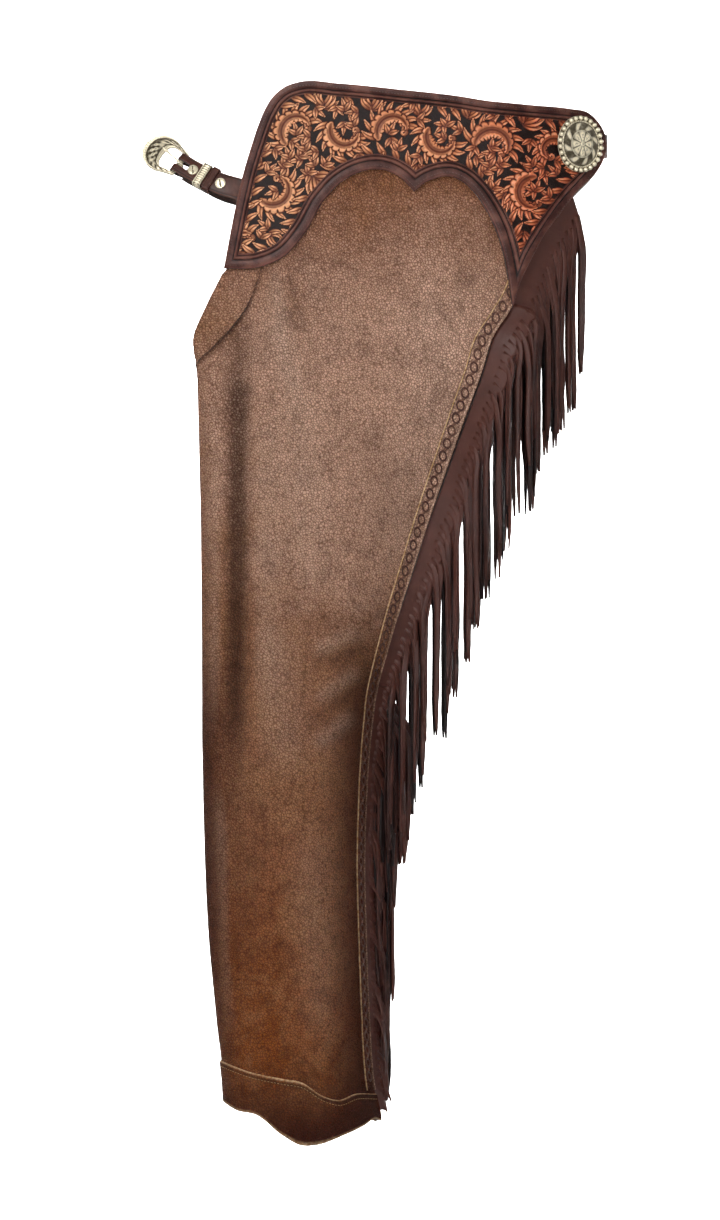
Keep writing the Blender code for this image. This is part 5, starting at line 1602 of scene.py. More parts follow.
@dataclass(frozen=True)
class Fringe(Sided):
    """Fringe whose strands leave the sewn line side by side, as one uncut band, then part and hang."""

    form: LegForm = field(default_factory=LegForm)
    pitch: float = 8.0
    leather: float = 1.3
    end_z: float = -1046.0
    fineness: float = 1.0
    cluster: float = 10.8
    band_tone: float = 0.72
    lead: int = 8
    rows: int = 20
    widths: tuple = (("hip", 6.6), ("thigh", 5.8), ("shin", 8.0))

    def paths(self, roots: Roots, s: Array, band: Array) -> tuple[Array, Array]:
        """Middle lines and headings at distances s: outward at first, bending to straight down as s goes
        from a third of the band's depth to one and a half of it."""
        turn = ease(s, 0.35 * band[:, None], 1.5 * band[:, None])[..., None]
        heading = unit((1 - turn) * roots.outward[:, None] + turn * np.array([0, 0, -1.0]))
        ds = np.diff(s, axis=1, prepend=0)[..., None]
        return roots.place[:, None] + np.cumsum(heading * ds, axis=1), heading

    def web(self, roots: Roots, band: Array) -> Array:
        """The uncut band as a grid: its lower edge is cut up in arches between the bunches."""
        foot = roots.place[:, 0] + band * 0.8
        arch = np.abs(np.sin(math.pi * foot / self.cluster)) ** 0.5
        depth = band * (0.72 + 0.33 * arch)
        return self.paths(roots, np.linspace(0, 1, 10)[None] * depth[:, None], band)[0]

    def ribbons(self, part: str, fine: Roots, fine_band: Array, roots: Roots, length: Array, band: Array, seed: int,
                lane: Array, drift: Array, tone: Array) -> None:
        """The uncut band and its many strands in one mesh.

        A strand starts inside the band, follows its path, moves along flat by drift while it comes
        free, and sways in slow waves. It is narrower towards its end.

        Args:
            part: hip, thigh or shin.
            fine: The sewn line's places for the band.
            fine_band: The band's depth there.
            roots: Where the strands start.
            length: Each strand's length along itself.
            band: How far along itself each is still uncut.
            seed: Picks the waves.
            lane: How far aside each strand hangs.
            drift: How far along flat each has moved once free.
            tone: Each strand's tone, lowered by painted shade on the strands behind.
        """
        draw = np.random.default_rng(seed)
        count, lead, rows = len(length), self.lead, int(self.rows * self.fineness)
        first = 0.55 * band[:, None]
        s = np.concatenate([np.linspace(0, 1, lead)[None] * first,
                            first + (length[:, None] - first) * (np.arange(1, rows + 1) / rows)[None]], 1)
        middle, heading = (data[:, lead - 1:] for data in self.paths(roots, s, band))
        s = s[:, lead - 1:]
        t = s / length[:, None]
        rows += 1
        free = ease(s, band[:, None] * 0.8, band[:, None] + 34)
        phase = draw.uniform(0, 2 * math.pi, (4, count, 1))
        pace = draw.uniform(0.7, 1.3, (2, count, 1))
        sway = (0.9 * np.sin(s / 38 * pace[0] + phase[0]) + 0.4 * np.sin(s / 16 + phase[1])) * free * (0.3 + 0.7 * t)
        bulge = (1.2 * np.sin(s / 30 * pace[1] + phase[2]) + 0.4 * np.sin(s / 13 + phase[3])) * free
        middle = middle + roots.flat[:, None] * (sway + drift[:, None] * free)[..., None]
        middle = middle + roots.aside[:, None] * (bulge + lane[:, None] * ease(s, 0.75 * band[:, None],
                                                                              1.15 * band[:, None] + 10))[..., None]
        across = unit(np.cross(roots.aside[:, None], heading))
        twist = (draw.normal(0, 0.20, (count, 1)) + 0.30 * np.sin(s / 45 + phase[0])) * free
        out = roots.aside[:, None]
        tilted = across * np.cos(twist)[..., None] + out * np.sin(twist)[..., None]
        face = -across * np.sin(twist)[..., None] + out * np.cos(twist)[..., None]
        end = ease(s, length[:, None] - 24, length[:, None])
        half = 0.5 * dict(self.widths)[part] * draw.uniform(0.82, 1.15, (count, 1))
        half = half * (1 - 0.36 * t**1.3) * (1 - 0.60 * end)
        u = np.array([-1.0, -0.4, 0.4, 1.0])
        cup = np.array([-0.35, 0.15, 0.15, -0.35]) * draw.choice((-1.0, 1.0), (count, 1))
        points = (middle[:, :, None] + tilted[:, :, None] * (half[..., None] * u)[..., None]
                  + face[:, :, None] * (cup[:, None] * free[..., None])[..., None])
        strand_tone = self.band_tone + (tone[:, None] - self.band_tone) * free
        tones = np.broadcast_to(strand_tone[..., None], points.shape[:3])
        quads = grid_quads(rows, len(u))
        quads = (quads[None] + np.arange(count)[:, None, None] * rows * len(u)).reshape(-1, 4)
        web = self.web(fine, fine_band)
        size = points.reshape(-1, 3).shape[0]
        quads = np.concatenate([quads, grid_quads(*web.shape[:2]) + size])
        values = np.concatenate([tones.ravel(), np.full(web.shape[0] * web.shape[1], self.band_tone)])
        points = np.concatenate([points.reshape(-1, 3), web.reshape(-1, 3)])
        obj = make_mesh(self.named(f"fringe_{part}_strands"), points, quads, self.side, {"tone": values})
        hand_over(obj, "fringe_leather", (self.finishes.fringe,), self.named(f"fringe_{part}"), wall=self.leather,
                  offset=0.0)
        run = run_along(fine.place)[-1]
        area = (float((2 * half[:, 1:] * np.diff(s, axis=1)).sum()) + run * float(fine_band.mean()) * 0.9) * MM**2
        flat = (max(run, area / MM**2 / float(length.max()) * 1.02) * MM, float(length.max()) * MM)
        self.named("leg_front_leather")
        float(np.clip(area, 0.31 * flat[0] * flat[1], flat[0] * flat[1]))
        LOG.info("%s: %d strands, cut %.3f by %.3f m", obj.name, count, *flat)

    def gathered(self, x: Array, draw: np.random.Generator, strength: float) -> Array:
        """How far each strand moves towards the middle of its bunch."""
        bunch = np.floor(x / self.cluster)
        centre = (bunch + 0.5) * self.cluster + 2.0 * np.sin(bunch * 2.3)
        return (centre - x) * strength + draw.normal(0, 0.5, len(x))

    def seam(self, part: str, span: tuple[float, float], lengths: tuple[float, float], seed: int,
             band: tuple[float, float]) -> None:
        """The fringe in the outer seam: a front layer, and a sparser one behind it, darker with painted shade.

        Args:
            part: thigh or shin.
            span: Where it starts and ends.
            lengths: The shortest and the longest strand.
            seed: Picks lengths and waves.
            band: The uncut depth at the start and at the end.
        """
        level = np.linspace(*span, 900)
        tip, heading = self.form.seam(level)
        slant = unit(np.gradient(tip, axis=0))
        out = unit(heading - slant * (heading * slant).sum(1, keepdims=True))
        run = run_along(tip)

        def roots(at: Array, layer: Array) -> Roots:
            """The sewn line's places and directions at these distances along it."""
            flat, outward = unit(sample(heading, run, at)), unit(sample(out, run, at))
            aside = np.stack([flat[:, 1], -flat[:, 0], 0 * flat[:, 0]], 1)
            return Roots(sample(tip, run, at) - outward * 2.5 - aside * (layer * 1.4)[:, None], outward, flat, aside)

        pitch = self.pitch if part == "thigh" else 0.8 * self.pitch
        front = np.arange(pitch / 2, run[-1], pitch)
        behind = np.arange(self.pitch, run[-1], self.pitch * (2.3 if part == "thigh" else 1.3))
        at = np.concatenate([front, behind])
        layer = np.concatenate([0 * front, 0 * behind + 1])
        draw = np.random.default_rng(seed)
        at = np.clip(at + draw.uniform(-0.15, 0.15, len(at)) * self.pitch, 1, run[-1] - 1)
        count = len(at)
        fine_at = np.linspace(0, run[-1], int(run[-1] / 3.0 * self.fineness))
        fine = roots(fine_at, 0 * fine_at)
        start = roots(at, layer)
        fine_band = np.interp(fine_at, (0, run[-1]), band)
        depth = np.interp(at, (0, run[-1]), band) * (1 + 0.1 * draw.uniform(-1, 1, count))
        length = draw.uniform(*lengths, count) * (1 + 0.05 * layer)
        length = np.minimum(length, start.place[:, 2] - self.end_z - 2)
        step = np.mod(np.arange(count), 4) * 1.2 - 1.8
        lane = np.where(layer == 0, step, -3.8 + 0.4 * step)
        if part == "thigh":
            drift = self.gathered(start.place[:, 0] + depth, draw, 0.96)
        else:
            lane = lane + draw.uniform(-5.0, 5.0, count)
            drift = draw.uniform(0, 1, count) * np.interp(start.place[:, 2], (-1000, -650), (20, 36)) - 2
        # The strands behind are darker: painted shade.
        tone = np.clip(draw.normal(0.55, 0.12, count) - 0.42 * layer, 0, 1)
        self.ribbons(part, fine, fine_band, start, length, depth, seed + 1, lane, drift, tone)

    def hip(self, outline: tuple) -> None:
        """Fringe behind the yoke's slanting back edge, following the hip's plan."""
        edge = resample([row for row in outline if row[0] > 0 and row[1] <= -100], 300)[::-1]
        run = run_along(edge)
        slant = unit(np.gradient(edge, axis=0))
        inward = np.stack([-slant[:, 1], slant[:, 0]], 1)
        draw = np.random.default_rng(77)

        def roots(at: Array, layer: Array) -> Roots:
            """Places behind the edge at these distances along it."""
            x, z = sample(edge + inward * 4, run, at).T
            place = self.form.hip.at(x, z, -1.9 - 1.6 * layer)
            slope = self.form.hip.slope(place[:, 0])
            flat = unit(np.stack([np.ones(len(at)), slope, np.zeros(len(at))], 1))
            aside = np.stack([flat[:, 1], -flat[:, 0], 0 * slope], 1)
            away = -sample(inward, run, at)
            outward = unit(flat * away[:, :1] * 0.45 + np.array([0, 0, 1.0]) * (away[:, 1:] * 0.45 - 0.6))
            return Roots(place, outward, flat, aside)

        front = np.arange(3.0, run[-1] - 2, self.pitch * 0.86)
        behind = np.arange(12.0, run[-1] - 5, self.pitch * 2.0)
        at = np.concatenate([front, behind])
        layer = np.concatenate([0 * front, 0 * behind + 1])
        count = len(at)
        fine_at = np.linspace(0, run[-1], int(run[-1] / 2.2))
        fine, start = roots(fine_at, 0 * fine_at), roots(at, layer)
        length = draw.uniform(178, 222, count)
        levels = ((105, 172), (64, 46))
        depth = np.interp(start.place[:, 0], *levels) * (1 + 0.1 * draw.uniform(-1, 1, count))
        drift = self.gathered(start.place[:, 0], draw, 0.9)
        step = np.mod(np.arange(count), 4) * 1.2 - 1.8
        lane = np.where(layer == 0, step, -3.4 + 0.4 * step)
        # The strands behind are darker: painted shade.
        tone = np.clip(draw.normal(0.55, 0.12, count) - 0.42 * layer, 0, 1)
        self.ribbons("hip", fine, np.interp(fine.place[:, 0], *levels), start, length, depth, 78, lane, drift, tone)

    def build(self, outline: tuple) -> None:
        """Makes the three fringes of this side."""
        self.hip(outline)
        self.seam("thigh", (-222.0, -606.0), (160, 206), 91, (34, 26))
        self.seam("shin", (-606.0, -1036.0), (120, 175), 92, (25, 22))


# ---------------------------------------------------------------- metal and straps
@dataclass(frozen=True)
class Concho(Sided):
    """A silver disc: an engraved dome, a twisted ring, a dark channel and a rim of beads."""

    hip: HipForm = field(default_factory=HipForm)
    centre: tuple[float, float] = (172.5, -60.0)
    radius: float = 28.5
    beads: int = 26
    around: int = 240
    lift: float = 6.55

    def frame(self) -> tuple[Array, Array]:
        """The centre, and the rows of the turning matrix: sideways, up, outward."""
        x, z = self.centre
        centre = self.hip.at(np.array(x), np.array(z), np.array(self.lift))
        normal = self.hip.outward(np.array(x))
        sideways = unit(np.cross((0, 0, 1.0), normal))
        return centre, np.stack([sideways, np.cross(normal, sideways), normal])

    def build(self) -> None:
        """The disc as a polar surface h(r, a), and its beads.

        Inside r < 0.55 the dome carries a rosette of eight double petals; 0.55 to 0.80 carries curled
        leaves, sixteen round; at 0.82 a roped ring; then a channel for the beads.
        """
        centre, turn = self.frame()
        r = np.concatenate([np.linspace(0.004, 0.775, 38), np.linspace(0.785, 0.90, 13), np.linspace(0.91, 1.0, 9)])
        rr, aa = np.meshgrid(r, 2 * math.pi * np.arange(self.around) / self.around, indexing="ij")
        dome = np.interp(rr, (0, 0.45, 0.78, 0.86, 0.90, 1.0), (5.4, 4.4, 2.2, 1.7, 1.5, 1.2))
        petal = np.abs(np.cos(4 * aa)) ** 0.7 * np.sin(math.pi * np.clip((rr - 0.06) / 0.42, 0, 1)) ** 0.8
        slit = np.exp(-((np.sin(4 * aa + math.pi / 2) / 0.14) ** 2)) * ease(rr, 0.1, 0.2) * (1 - ease(rr, 0.38, 0.46))
        boss = 1 - ease(rr, 0.05, 0.10)
        swirl = np.sin(8 * aa + 9 * rr)
        leaf = np.clip(swirl, -0.2, 1) * np.sin(math.pi * np.clip((rr - 0.49) / 0.27, 0, 1)) ** 0.7
        rope = np.exp(-(((rr - 0.815) / 0.022) ** 2)) * (0.65 + 0.35 * np.sin(48 * aa + 40 * rr))
        ring = np.exp(-(((rr - 0.475) / 0.012) ** 2))
        relief = 0.75 * petal - 0.55 * slit + 0.8 * boss + 0.65 * leaf + 0.9 * rope + 0.5 * ring
        channel = np.exp(-(((rr - 0.925) / 0.05) ** 2))
        height = dome + 0.85 * relief - 0.5 * channel
        crest = np.clip(0.18 + 0.75 * np.clip(relief, 0, 1) + 0.25 * ease(rr, 0.96, 1.0) - 0.35 * channel, 0, 1)
        grid = np.stack([rr * self.radius * np.cos(aa), rr * self.radius * np.sin(aa), height], -1)
        rim = grid[-1] * (1, 1, 0) + (0, 0, 0.1)
        grid = np.concatenate([grid, rim[None], (rim * (0.01, 0.01, 1))[None]])
        crest = np.concatenate([crest, np.full((2, self.around), 0.3)])
        points = centre + grid.reshape(-1, 3) @ turn
        quads = grid_quads(len(grid), self.around, ring=True)[:, ::-1]
        disc = make_mesh(self.named("concho_disc"), points, quads, self.side, {"crest": crest.ravel()})
        hand_over(disc, "silver", (self.finishes.silver,), self.named("concho"))
        shape, faces = ball(8, 12)
        angle = 2 * math.pi * (np.arange(self.beads) + 0.5) / self.beads
        places = np.stack([np.cos(angle) * 0.925, np.sin(angle) * 0.925, 0 * angle + 2.1 / self.radius], 1)
        axes = np.broadcast_to(turn * 2.45, (self.beads, 3, 3))
        beads = many(self.named("concho_beads"), shape, faces, centre + (places * self.radius) @ turn, axes,
                     self.side, {"crest": np.full(self.beads, 0.95)})
        hand_over(beads, "silver", (self.finishes.silver,))


@dataclass(frozen=True)
class Fittings:
    """The buckle strap, its billet, and the hardware on them."""

    finishes: Finishes
    line: tuple = ((-125, -85.2, -119), (-145, -81.6, -113.5), (-166, -75.6, -107), (-183, -69.5, -102),
                   (-199.5, -63.5, -94.5), (-215, -58, -86.5), (-227, -53.5, -79))
    width: float = 22.0
    wall: float = 2.2
    fold: float = 3.9
    layer_step: float = 2.6
    tilt: float = math.radians(25)
    return_x: float = -176.0
    room: float = 0.95
    holes: tuple[float, ...] = (-178.0, -190.0, -202.0)
    places: tuple = (("screw_1", -185.0), ("loop", -194.8), ("keeper", -203.6), ("screw_2", -213.0))
    outline: tuple = ((-1.7, 14), (8, 16.5), (18, 19.5), (28, 19), (36, 14.5), (41, 7.5), (42.5, 0))
    window: tuple = ((1.7, 11.8), (8, 12), (15, 12.2), (19, 9.5), (20.5, 4), (20.8, 0))
    plate: float = 3.2
    tongue_turn: float = 3.8
    tongue_length: float = 25.0
    tongue_drop: float = 1.6
    tongue_lift: float = math.radians(35)

    @property
    def leather(self) -> tuple[Paint, Paint, Paint]:
        """A strap's face, back and rim."""
        return self.finishes.strap, self.finishes.dark_flesh, self.finishes.dark_edge

    def frame(self) -> tuple[Array, Array, Array, Array]:
        """The strap's middle line, heading, width direction (downward) and outward direction."""
        points = resample(self.line, 121)
        heading = unit(np.gradient(points, axis=0))
        tilt = math.tan(self.tilt) * ease(-points[:, 0], 160, 205)
        upright = np.stack([0 * tilt, tilt, 1 + 0 * tilt], 1)
        across = -unit(upright - heading * (upright * heading).sum(1, keepdims=True))
        return points, heading, across, unit(np.cross(heading, across))

    def at(self, x: float) -> tuple[Array, Array]:
        """The point at this x, and the rows heading, across and outward."""
        points, *axes = self.frame()
        read = [sample(data, -points[:, 0], -x) for data in (points, *axes)]
        return read[0], np.stack([unit(v) for v in read[1:]])

    def band(self, name: str, node: str, middle: Array, across: Array, out: Array, side: Side,
             cut: Array | None = None) -> Piece:
        """A strap along a line: flat between two creased lines, its edges rounded off.

        Args:
            name: The object's name.
            node: The solid that it stands for.
            middle: The middle line.
            across: The width direction at each point.
            out: The outward direction at each point.
            side: The side of the pair.
            cut: Rows whose middle columns are left open for a slot, as a mask, or None.

        Returns:
            The object.
        """
        u = mirrored([-1, -0.985, -0.93, -0.86, -0.80, -0.74, -0.66, -0.4, -0.291, 0], -1)
        lift = mirrored([-0.55, -0.2, 0, 0, -0.35, 0, 0.08, 0.15, 0.15, 0.15])
        # Crest: edges rubbed pale with a painted highlight, the two creased lines near black with painted shade.
        crest = mirrored([0.95, 0.9, 0.65, 0.5, 0.05, 0.45, 0.5, 0.5, 0.5, 0.5])
        points = middle[:, None] + across[:, None] * (u * self.width / 2)[None, :, None]
        points = points + out[:, None] * (lift + 0.5 * self.wall)[None, :, None]
        rows = len(middle)
        quads = grid_quads(rows, len(u))[:, ::-1]
        if cut is not None:
            row, column = quads[:, 0] // len(u), quads[:, 0] % len(u)
            quads = quads[~(cut[row] & (column >= 8) & (column <= 9))]
        obj = make_mesh(name, points, quads, side, {"crest": np.broadcast_to(crest, (rows, len(u))).ravel()})
        return hand_over(obj, "dark_leather", self.leather, node, wall=self.wall)

    def buckle_strap(self) -> Array:
        """The strap from under the yoke to the bar, round it and back, with a slot for the tongue.

        Returns:
            The bar's place.
        """
        points, heading, across, outward = self.frame()
        end, head, wide, out = points[-1], heading[-1], across[-1], outward[-1]
        bar = end - out * self.fold
        angle = np.linspace(0, math.pi, 34)[1:, None]
        turned = out * np.cos(angle) + head * np.sin(angle)
        back = points[::-1][1:]
        keep = back[:, 0] <= self.return_x
        back, back_out, back_across = back[keep], outward[::-1][1:][keep], across[::-1][1:][keep]
        away = np.linalg.norm(back - end, axis=1)
        step = self.layer_step + (2 * self.fold - self.layer_step) * (1 - ease(away, 0, 17))
        middle = np.concatenate([points, bar + self.fold * turned, back - back_out * step[:, None]])
        width = np.concatenate([across, np.broadcast_to(wide, (33, 3)), back_across])
        face = np.concatenate([outward, turned, -back_out])
        run = run_along(middle)
        fold_run = run[len(points) + 16]
        slot = np.abs(run - fold_run) < 17.5
        strap = self.band("buckle_strap", "strap_L", middle, width, face, Side.LEFT, slot)
        flat = (self.width * MM, float(run[-1]) * MM)
        0.97 * flat[0] * flat[1]
        return bar

    def billet(self) -> None:
        """The right strap: one layer and three holes."""
        points, _, across, outward = self.frame()
        run = run_along(points)
        keep = points[:, 0] >= -221.0
        points, across, outward, run = points[keep], across[keep], outward[keep], run[keep]
        strap = self.band("billet_strap", "strap_R", points, across, outward, Side.RIGHT)
        rings = []
        a = 2 * math.pi * np.arange(20) / 20
        for x in self.holes:
            place, axes = self.at(x)
            for radius, lift in ((0.05, 1.16), (2.0, 1.17), (2.3, 1.42), (2.7, 1.42), (3.0, 1.15)):
                rings.append(place + (np.stack([np.cos(a) * radius, np.sin(a) * radius, 0 * a + lift], 1)) @ axes)
        grid = np.array(rings).reshape(len(self.holes), 5, 20, 3)
        quads = grid_quads(5, 20, ring=True)[:, ::-1]
        quads = (quads[None] + np.arange(len(self.holes))[:, None, None] * 100).reshape(-1, 4)
        # The holes are not cut through: inside each raised rim a flat disc stands in near-black painted shade.
        crest = np.tile(np.repeat([0.0, 0.0, 0.6, 0.9, 0.4], 20), len(self.holes))
        eyes = make_mesh("billet_holes", grid, quads, Side.RIGHT, {"crest": crest})
        hand_over(eyes, "dark_leather", (self.finishes.strap,))
        self.width * MM

    def screws(self) -> None:
        """Two domed screw heads with a slot and a milled edge, as polar surfaces."""
        r = np.array([0.004, 0.2, 0.4, 0.6, 0.75, 0.84, 0.88, 0.92, 0.96, 1.0, 1.0, 0.01])
        h = np.array([1.9, 1.9, 1.88, 1.82, 1.74, 1.6, 1.35, 1.5, 1.35, 0.9, 0.05, 0.05])
        a = 2 * math.pi * np.arange(64) / 64
        for name, x in self.places:
            if not name.startswith("screw"):
                continue
            place, axes = self.at(x)
            grid = np.stack(np.broadcast_arrays(np.outer(r, np.cos(a)), np.outer(r, np.sin(a)), h[:, None]), -1)
            grid = grid * (5.4, 5.4, 1.0)
            slot = (np.abs(grid[..., 0] * 0.8 + grid[..., 1] * 0.6) < 0.65) & (r[:, None] < 0.8)
            grid[..., 2] = np.where(slot, grid[..., 2] - 0.7, grid[..., 2])
            crest = np.where(slot, 0.05, np.where(np.isin(r, (0.88,))[:, None], 0.15, 0.85))
            points = place + (grid + (0, 0, 0.5 * self.wall + 0.35)).reshape(-1, 3) @ axes
            head = make_mesh(f"{name}_head", points, grid_quads(len(r), 64, ring=True)[:, ::-1], Side.LEFT,
                             {"crest": crest.ravel()})
            hand_over(head, "silver", (self.finishes.silver,), name)

    def rings_round_strap(self) -> None:
        """The leather loop and the engraved keeper: a rounded rectangle carried across the strap.

        The keeper's front carries two raised edges and a row of leaves between them.
        """
        back = -(self.layer_step + 0.5 * self.wall + self.room)
        for name, length, room, wall, metal in (("loop", 7.0, 0.9, 1.8, False), ("keeper", 8.4, 1.6, 1.5, True)):
            place, axes = self.at(dict(self.places)[name])
            half_y, front = self.width / 2 + self.room, 0.5 * self.wall + room
            corner = 1.4
            arc = np.linspace(0, math.pi / 2, 6)
            turns = []
            for k, (y, z) in enumerate(((half_y, front), (-half_y, front), (-half_y, back), (half_y, back))):
                cy, cz = y - math.copysign(corner, y), z - math.copysign(corner, z if k < 2 else -1)
                angle = arc + k * math.pi / 2
                turns.append(np.stack([cy + corner * np.cos(angle), cz + corner * np.sin(angle)], 1))
            path = np.vstack(turns)
            path = np.vstack([path, path[:1]])
            run = run_along(path)
            count = 220
            loop = read_line(path, np.linspace(0, run[-1], count + 1)[:-1])
            normal = np.roll(loop, 1, axis=0) - np.roll(loop, -1, axis=0)
            normal = unit(np.stack([-normal[:, 1], normal[:, 0]], 1))
            u = mirrored([-1, -1, -0.94, -0.82, -0.74, -0.62, -0.4, -0.15], -1, once=False)
            if metal:
                rise = mirrored([0, 0.8, 1.05, 1.05, 0.45, 0.4, 0.5, 0.55], once=False)
                crest = mirrored([0.3, 0.8, 1, 0.9, 0.1, 0.2, 0.4, 0.5], once=False)
                leaf = np.maximum(np.sin(np.arange(count)[:, None] * 2 * math.pi / 9.2 + 3.2 * np.abs(u)[None]), -0.2)
                inner = (np.abs(u) < 0.7)[None] * leaf
                rise = rise[None] * wall + 0.45 * inner
                crest = np.clip(crest[None] + 0.55 * inner, 0, 1)
            else:
                rise = mirrored([0, 0.8, 1.0, 1.0, 0.85, 0.95, 1, 1], once=False) * wall
                # Crest: edges rubbed pale with a painted highlight, a line of painted shade near each edge.
                crest = mirrored([0.6, 0.9, 0.8, 0.6, 0.1, 0.5, 0.5, 0.5], once=False)
            rise, crest = (np.broadcast_to(data, (count, len(u))) for data in (rise, crest))
            yz = loop[:, None] + normal[:, None] * rise[..., None]
            local = np.stack([np.broadcast_to(u * length / 2, (count, len(u))), yz[..., 0], yz[..., 1]], -1)
            points = place + local.reshape(-1, 3) @ axes
            quads = grid_quads(count, len(u), ring=True, closed_rows=True)[:, ::-1]
            obj = make_mesh(f"strap_{name}", points, quads, Side.LEFT, {"crest": crest.ravel()})
            slot, paint = ("silver", self.finishes.silver) if metal else ("dark_leather", self.finishes.strap)
            hand_over(obj, slot, (paint,), name)

    def buckle(self, bar: Array) -> None:
        """The buckle's frame: between window and outline the section rises to a rim, sinks to an
        engraved field and ends in a beaded edge. The tongue is a hooked wire that swells to its tip.

        Args:
            bar: The place of the bar that the strap folds round.
        """
        _, heading, across, outward = (data[-1] for data in self.frame())
        axes = np.stack([heading, across, outward])
        loops = []
        for shape in (self.outline, self.window):
            half = resample(shape, 160)
            whole = np.vstack([half, (half * (1, -1))[-2:0:-1], half[:1] * (1, -1)])
            closed = np.vstack([whole, whole[:1]])
            loops.append(read_line(closed, np.linspace(0, run_along(closed)[-1], 361)[:-1]))
        outer, inner = loops
        share = np.array([0.0, 0.0, 0.03, 0.10, 0.17, 0.22, 0.30, 0.42, 0.55, 0.68, 0.78, 0.84, 0.92, 0.98, 1.0, 1.0])
        rise = np.array([-1, 0.55, 1.0, 1.25, 1.0, 0.55, 0.5, 0.62, 0.72, 0.68, 0.5, 0.75, 1.1, 0.9, 0.5, -1])
        crest = np.array([.3, .7, .9, 1, .7, .05, .2, .35, .4, .35, .1, .6, .95, .9, .7, .3])
        flat = outer[:, None] + (inner - outer)[:, None] * share[None, :, None]
        run = np.linspace(0, 1, 360, endpoint=False)[:, None]
        beads = np.abs(np.sin(math.pi * 46 * run)) * ((share > 0.02) & (share < 0.18))[None]
        field_mask = np.clip(1 - np.abs((share - 0.5) / 0.26), 0, 1)[None]
        scroll = np.sin(2 * math.pi * 15 * run + 5.5 * share[None]) * np.sin(math.pi * 9 * share[None] + 14 * run)
        half_wall = self.plate / 2
        z = np.where(rise[None] < 0, -half_wall, half_wall * rise[None]) + 0.45 * beads + 0.5 * scroll * field_mask
        crest = np.clip(crest[None] + 0.4 * (beads - 0.5) * (beads > 0) + 0.8 * scroll * field_mask, 0, 1)
        local = np.concatenate([flat, z[..., None]], -1)
        points = bar + local.reshape(-1, 3) @ axes
        quads = grid_quads(360, len(share), ring=True, closed_rows=True)
        plate = make_mesh("buckle_plate", points, quads, Side.LEFT, {"crest": crest.ravel()})
        net = bmesh.new()
        net.from_mesh(plate.data)
        bmesh.ops.recalc_face_normals(net, faces=net.faces[:])
        net.to_mesh(plate.data)
        net.free()
        hand_over(plate, "silver", (self.finishes.silver,), "buckle", body="buckle")
        angle = np.radians(np.linspace(-20, -270, 40))
        hook = self.tongue_turn * np.stack([np.cos(angle), 0 * angle, np.sin(angle)], 1)
        x = np.linspace(1.5, self.tongue_length, 36)
        pin = np.stack([x, 0 * x, self.tongue_turn - self.tongue_drop * ease(x, 0, self.tongue_length)], 1)
        route = np.vstack([hook, pin])
        lift = self.tongue_lift
        turn = np.array([[math.cos(lift), 0, math.sin(lift)], [0, 1, 0], [-math.sin(lift), 0, math.cos(lift)]])
        path = bar + (route @ turn) @ axes
        radius = np.concatenate([np.full(40, 0.98), 0.98 + 0.35 * ease(x, 12, 20) - 0.55 * ease(x, 22.5, 25)])
        tongue = rod("tongue_pin", path, axes[1], radius)
        hand_over(tongue, "silver", (self.finishes.silver,), "tongue", body="tongue")

    def back_tab(self, hip: HipForm) -> None:
        """The tab behind the two round ends, joining the yokes at the centre back."""
        inside = -(0.4 + 0.5 * 2.4)
        x = np.array([150.0, 168.0, 186.0, 196.0])
        half = [tuple(p[:2]) for p in hip.at(x, np.zeros(4), np.full(4, inside))]
        plan = half + [(202.5, -8.0), (205.0, 0.0)]
        plan += [(px, -py) for px, py in plan[-2::-1]]
        line = resample(plan, 100)
        level = np.array([-48, -48.4, -50, -51.5, -52.4, -53.5, -60, -66.5, -67.6, -68.5, -70, -71.6, -72.0])
        lift = mirrored([-0.5, -0.1, 0, 0, -0.3, 0, 0.1])
        # Crest: edges rubbed pale with a painted highlight, the creased lines near black with painted shade.
        crest = mirrored([0.9, 0.8, 0.6, 0.5, 0.05, 0.5, 0.5])
        heading = unit(np.gradient(line, axis=0))
        normal = np.stack([heading[:, 1], -heading[:, 0]], 1)
        flat = line[:, None] + normal[:, None] * (lift + 1.1)[None, :, None]
        grid = np.concatenate([flat, np.broadcast_to(level[None, :, None], (*flat.shape[:2], 1))], -1)
        tab = sheet_mesh("back_tab_leather", grid, Side.LEFT, {"crest": crest[None]})
        hand_over(tab, "dark_leather", self.leather, "back_tab", wall=self.wall)

    def build(self, hip: HipForm) -> None:
        """Makes the straps and the hardware."""
        bar = self.buckle_strap()
        self.billet()
        self.screws()
        self.rings_round_strap()
        self.buckle(bar)
        self.back_tab(hip)


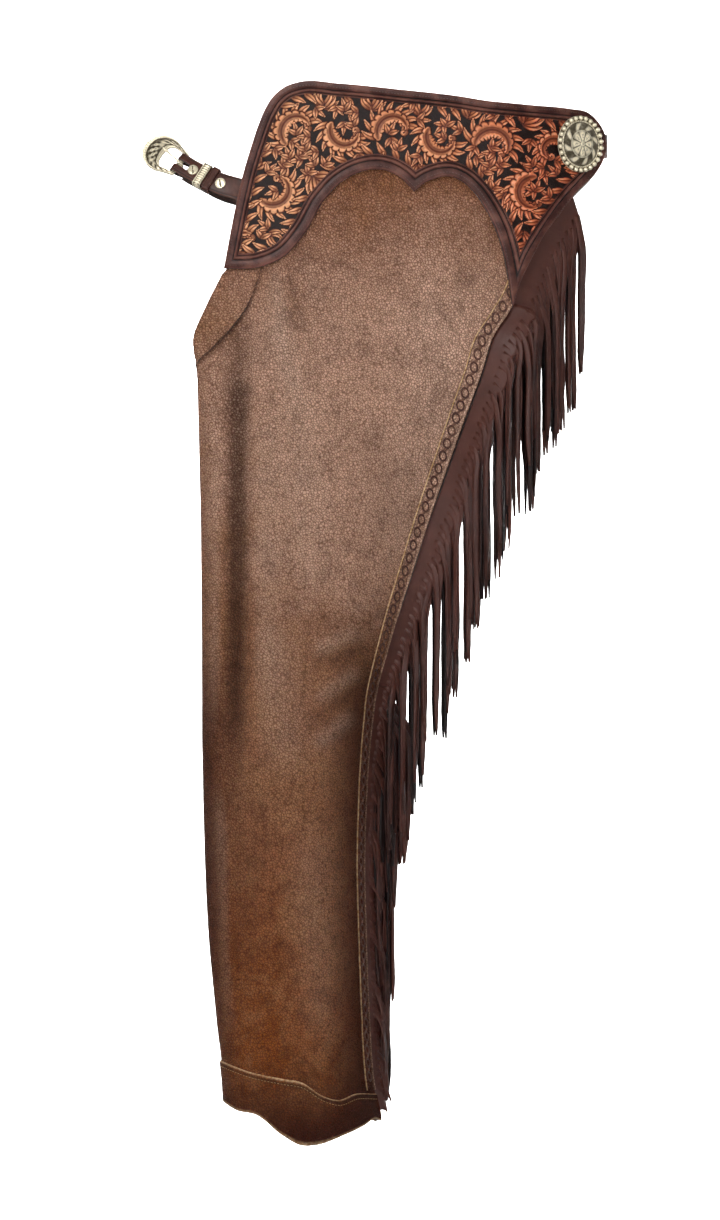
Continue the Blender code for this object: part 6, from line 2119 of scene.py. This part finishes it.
# ---------------------------------------------------------------- studio
@dataclass(frozen=True)
class Studio:
    """A pale round studio, soft lights and a long-lens camera."""

    eye: tuple[float, float, float] = (-0.045, -9.0, -0.530)
    lens: float = 262.0
    floor_z: float = -3.40
    radius: float = 24.0
    bend: float = 2.4
    wall_height: float = 24.0
    paper: tuple[Colour, Colour] = ((0.86, 0.86, 0.86), (0.90, 0.90, 0.90))
    # Each lamp: its place, what it points at, its size in metres and its power.
    lamps: tuple = (
        ("key", (-1.9, -3.6, 1.4), (-0.05, 0, -0.42), 1.3, 108),
        ("front", (1.7, -4.6, 0.2), (-0.05, 0, -0.5), 1.4, 36),
        ("wall_left", (-7.2, 16.4, -0.2), (-2.6, 24, -0.9), 4.0, 3400),
        ("wall_right", (7.2, 16.4, -0.2), (2.6, 24, -0.9), 4.0, 3400),
        ("wall_front", (0.0, -19.6, 6.0), (0.0, -24, 1.0), 4.0, 1300))
    world_light: float = 0.10

    def backdrop(self) -> None:
        """Floor and round wall in one surface: the floor's radius grows to the bend, then a quarter
        circle turns it up, and the wall stands straight."""
        turn = np.linspace(0, math.pi / 2, 16)
        out = self.radius - self.bend + np.concatenate([[-self.radius + self.bend + 0.01], self.bend * np.sin(turn),
                                                        [self.bend]])
        rise = np.concatenate([[0.0], self.bend * (1 - np.cos(turn)), [self.wall_height]]) + self.floor_z
        a = (2 * math.pi * np.arange(96) / 96)[:, None]
        grid = np.stack(np.broadcast_arrays(out[None] * np.cos(a), out[None] * np.sin(a), rise[None]), -1)
        points, quads = grid.reshape(-1, 3) / MM, grid_quads(*grid.shape[:2], closed_rows=True)
        sweep = make_mesh("studio_sweep", points, quads, Side.LEFT)
        finish = Finish("studio_paper")
        sweep.data.materials.append(finish.dress(finish.mix(finish.noise(900, 2), *self.paper), 0.9))
        sweep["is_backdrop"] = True

    def lights(self) -> None:
        """A broad key from upper left, a weak front lamp, lamps that light only the wall before and
        behind, and a faint world."""
        for name, place, aim, size, power in self.lamps:
            lamp = bpy.data.lights.new(name, "AREA")
            lamp.size, lamp.energy = size, power
            obj = bpy.data.objects.new(name, lamp)
            obj.location = place
            obj.rotation_euler = (Vector(aim) - Vector(place)).to_track_quat("-Z", "Y").to_euler()
            bpy.context.scene.collection.objects.link(obj)
        world = bpy.data.worlds.new("studio")
        world.use_nodes = True
        light = world.node_tree.nodes["Background"]
        light.inputs[0].default_value, light.inputs[1].default_value = (1, 1, 1, 1), self.world_light
        bpy.context.scene.world = world

    def camera(self) -> None:
        """A long lens, level, looking along +Y."""
        data = bpy.data.cameras.new("camera")
        data.sensor_fit, data.sensor_height, data.lens = "VERTICAL", 36.0, self.lens
        data.clip_end = 120
        obj = bpy.data.objects.new("camera", data)
        obj.location = self.eye
        obj.rotation_euler = (math.pi / 2, 0, 0)
        bpy.context.scene.collection.objects.link(obj)
        bpy.context.scene.camera = obj

    def build(self) -> None:
        """Sets up the studio."""
        bpy.context.scene.view_settings.view_transform = "Standard"
        self.camera()
        self.backdrop()
        self.lights()


def main() -> None:
    """Builds the studio, then every sub-assembly in turn."""
    logging.basicConfig(level=logging.INFO, format="%(name)s: %(message)s", stream=sys.stdout)
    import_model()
    Studio().build()
    finishes = Finishes()
    for side, fineness, cell in ((Side.LEFT, 1.0, 0.75), (Side.RIGHT, 0.7, 1.3)):
        Leg(side, finishes, fineness).build()
        yoke = Yoke(side, finishes, cell)
        yoke.build()
        Fringe(side, finishes, fineness=fineness).build(yoke.outer)
        Concho(side, finishes).build()
    Fittings(finishes).build(HipForm())
    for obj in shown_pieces():
        LOG.info("%s: %d faces", obj.name, len(obj.data.polygons))


if __name__ == "__main__":
    main()
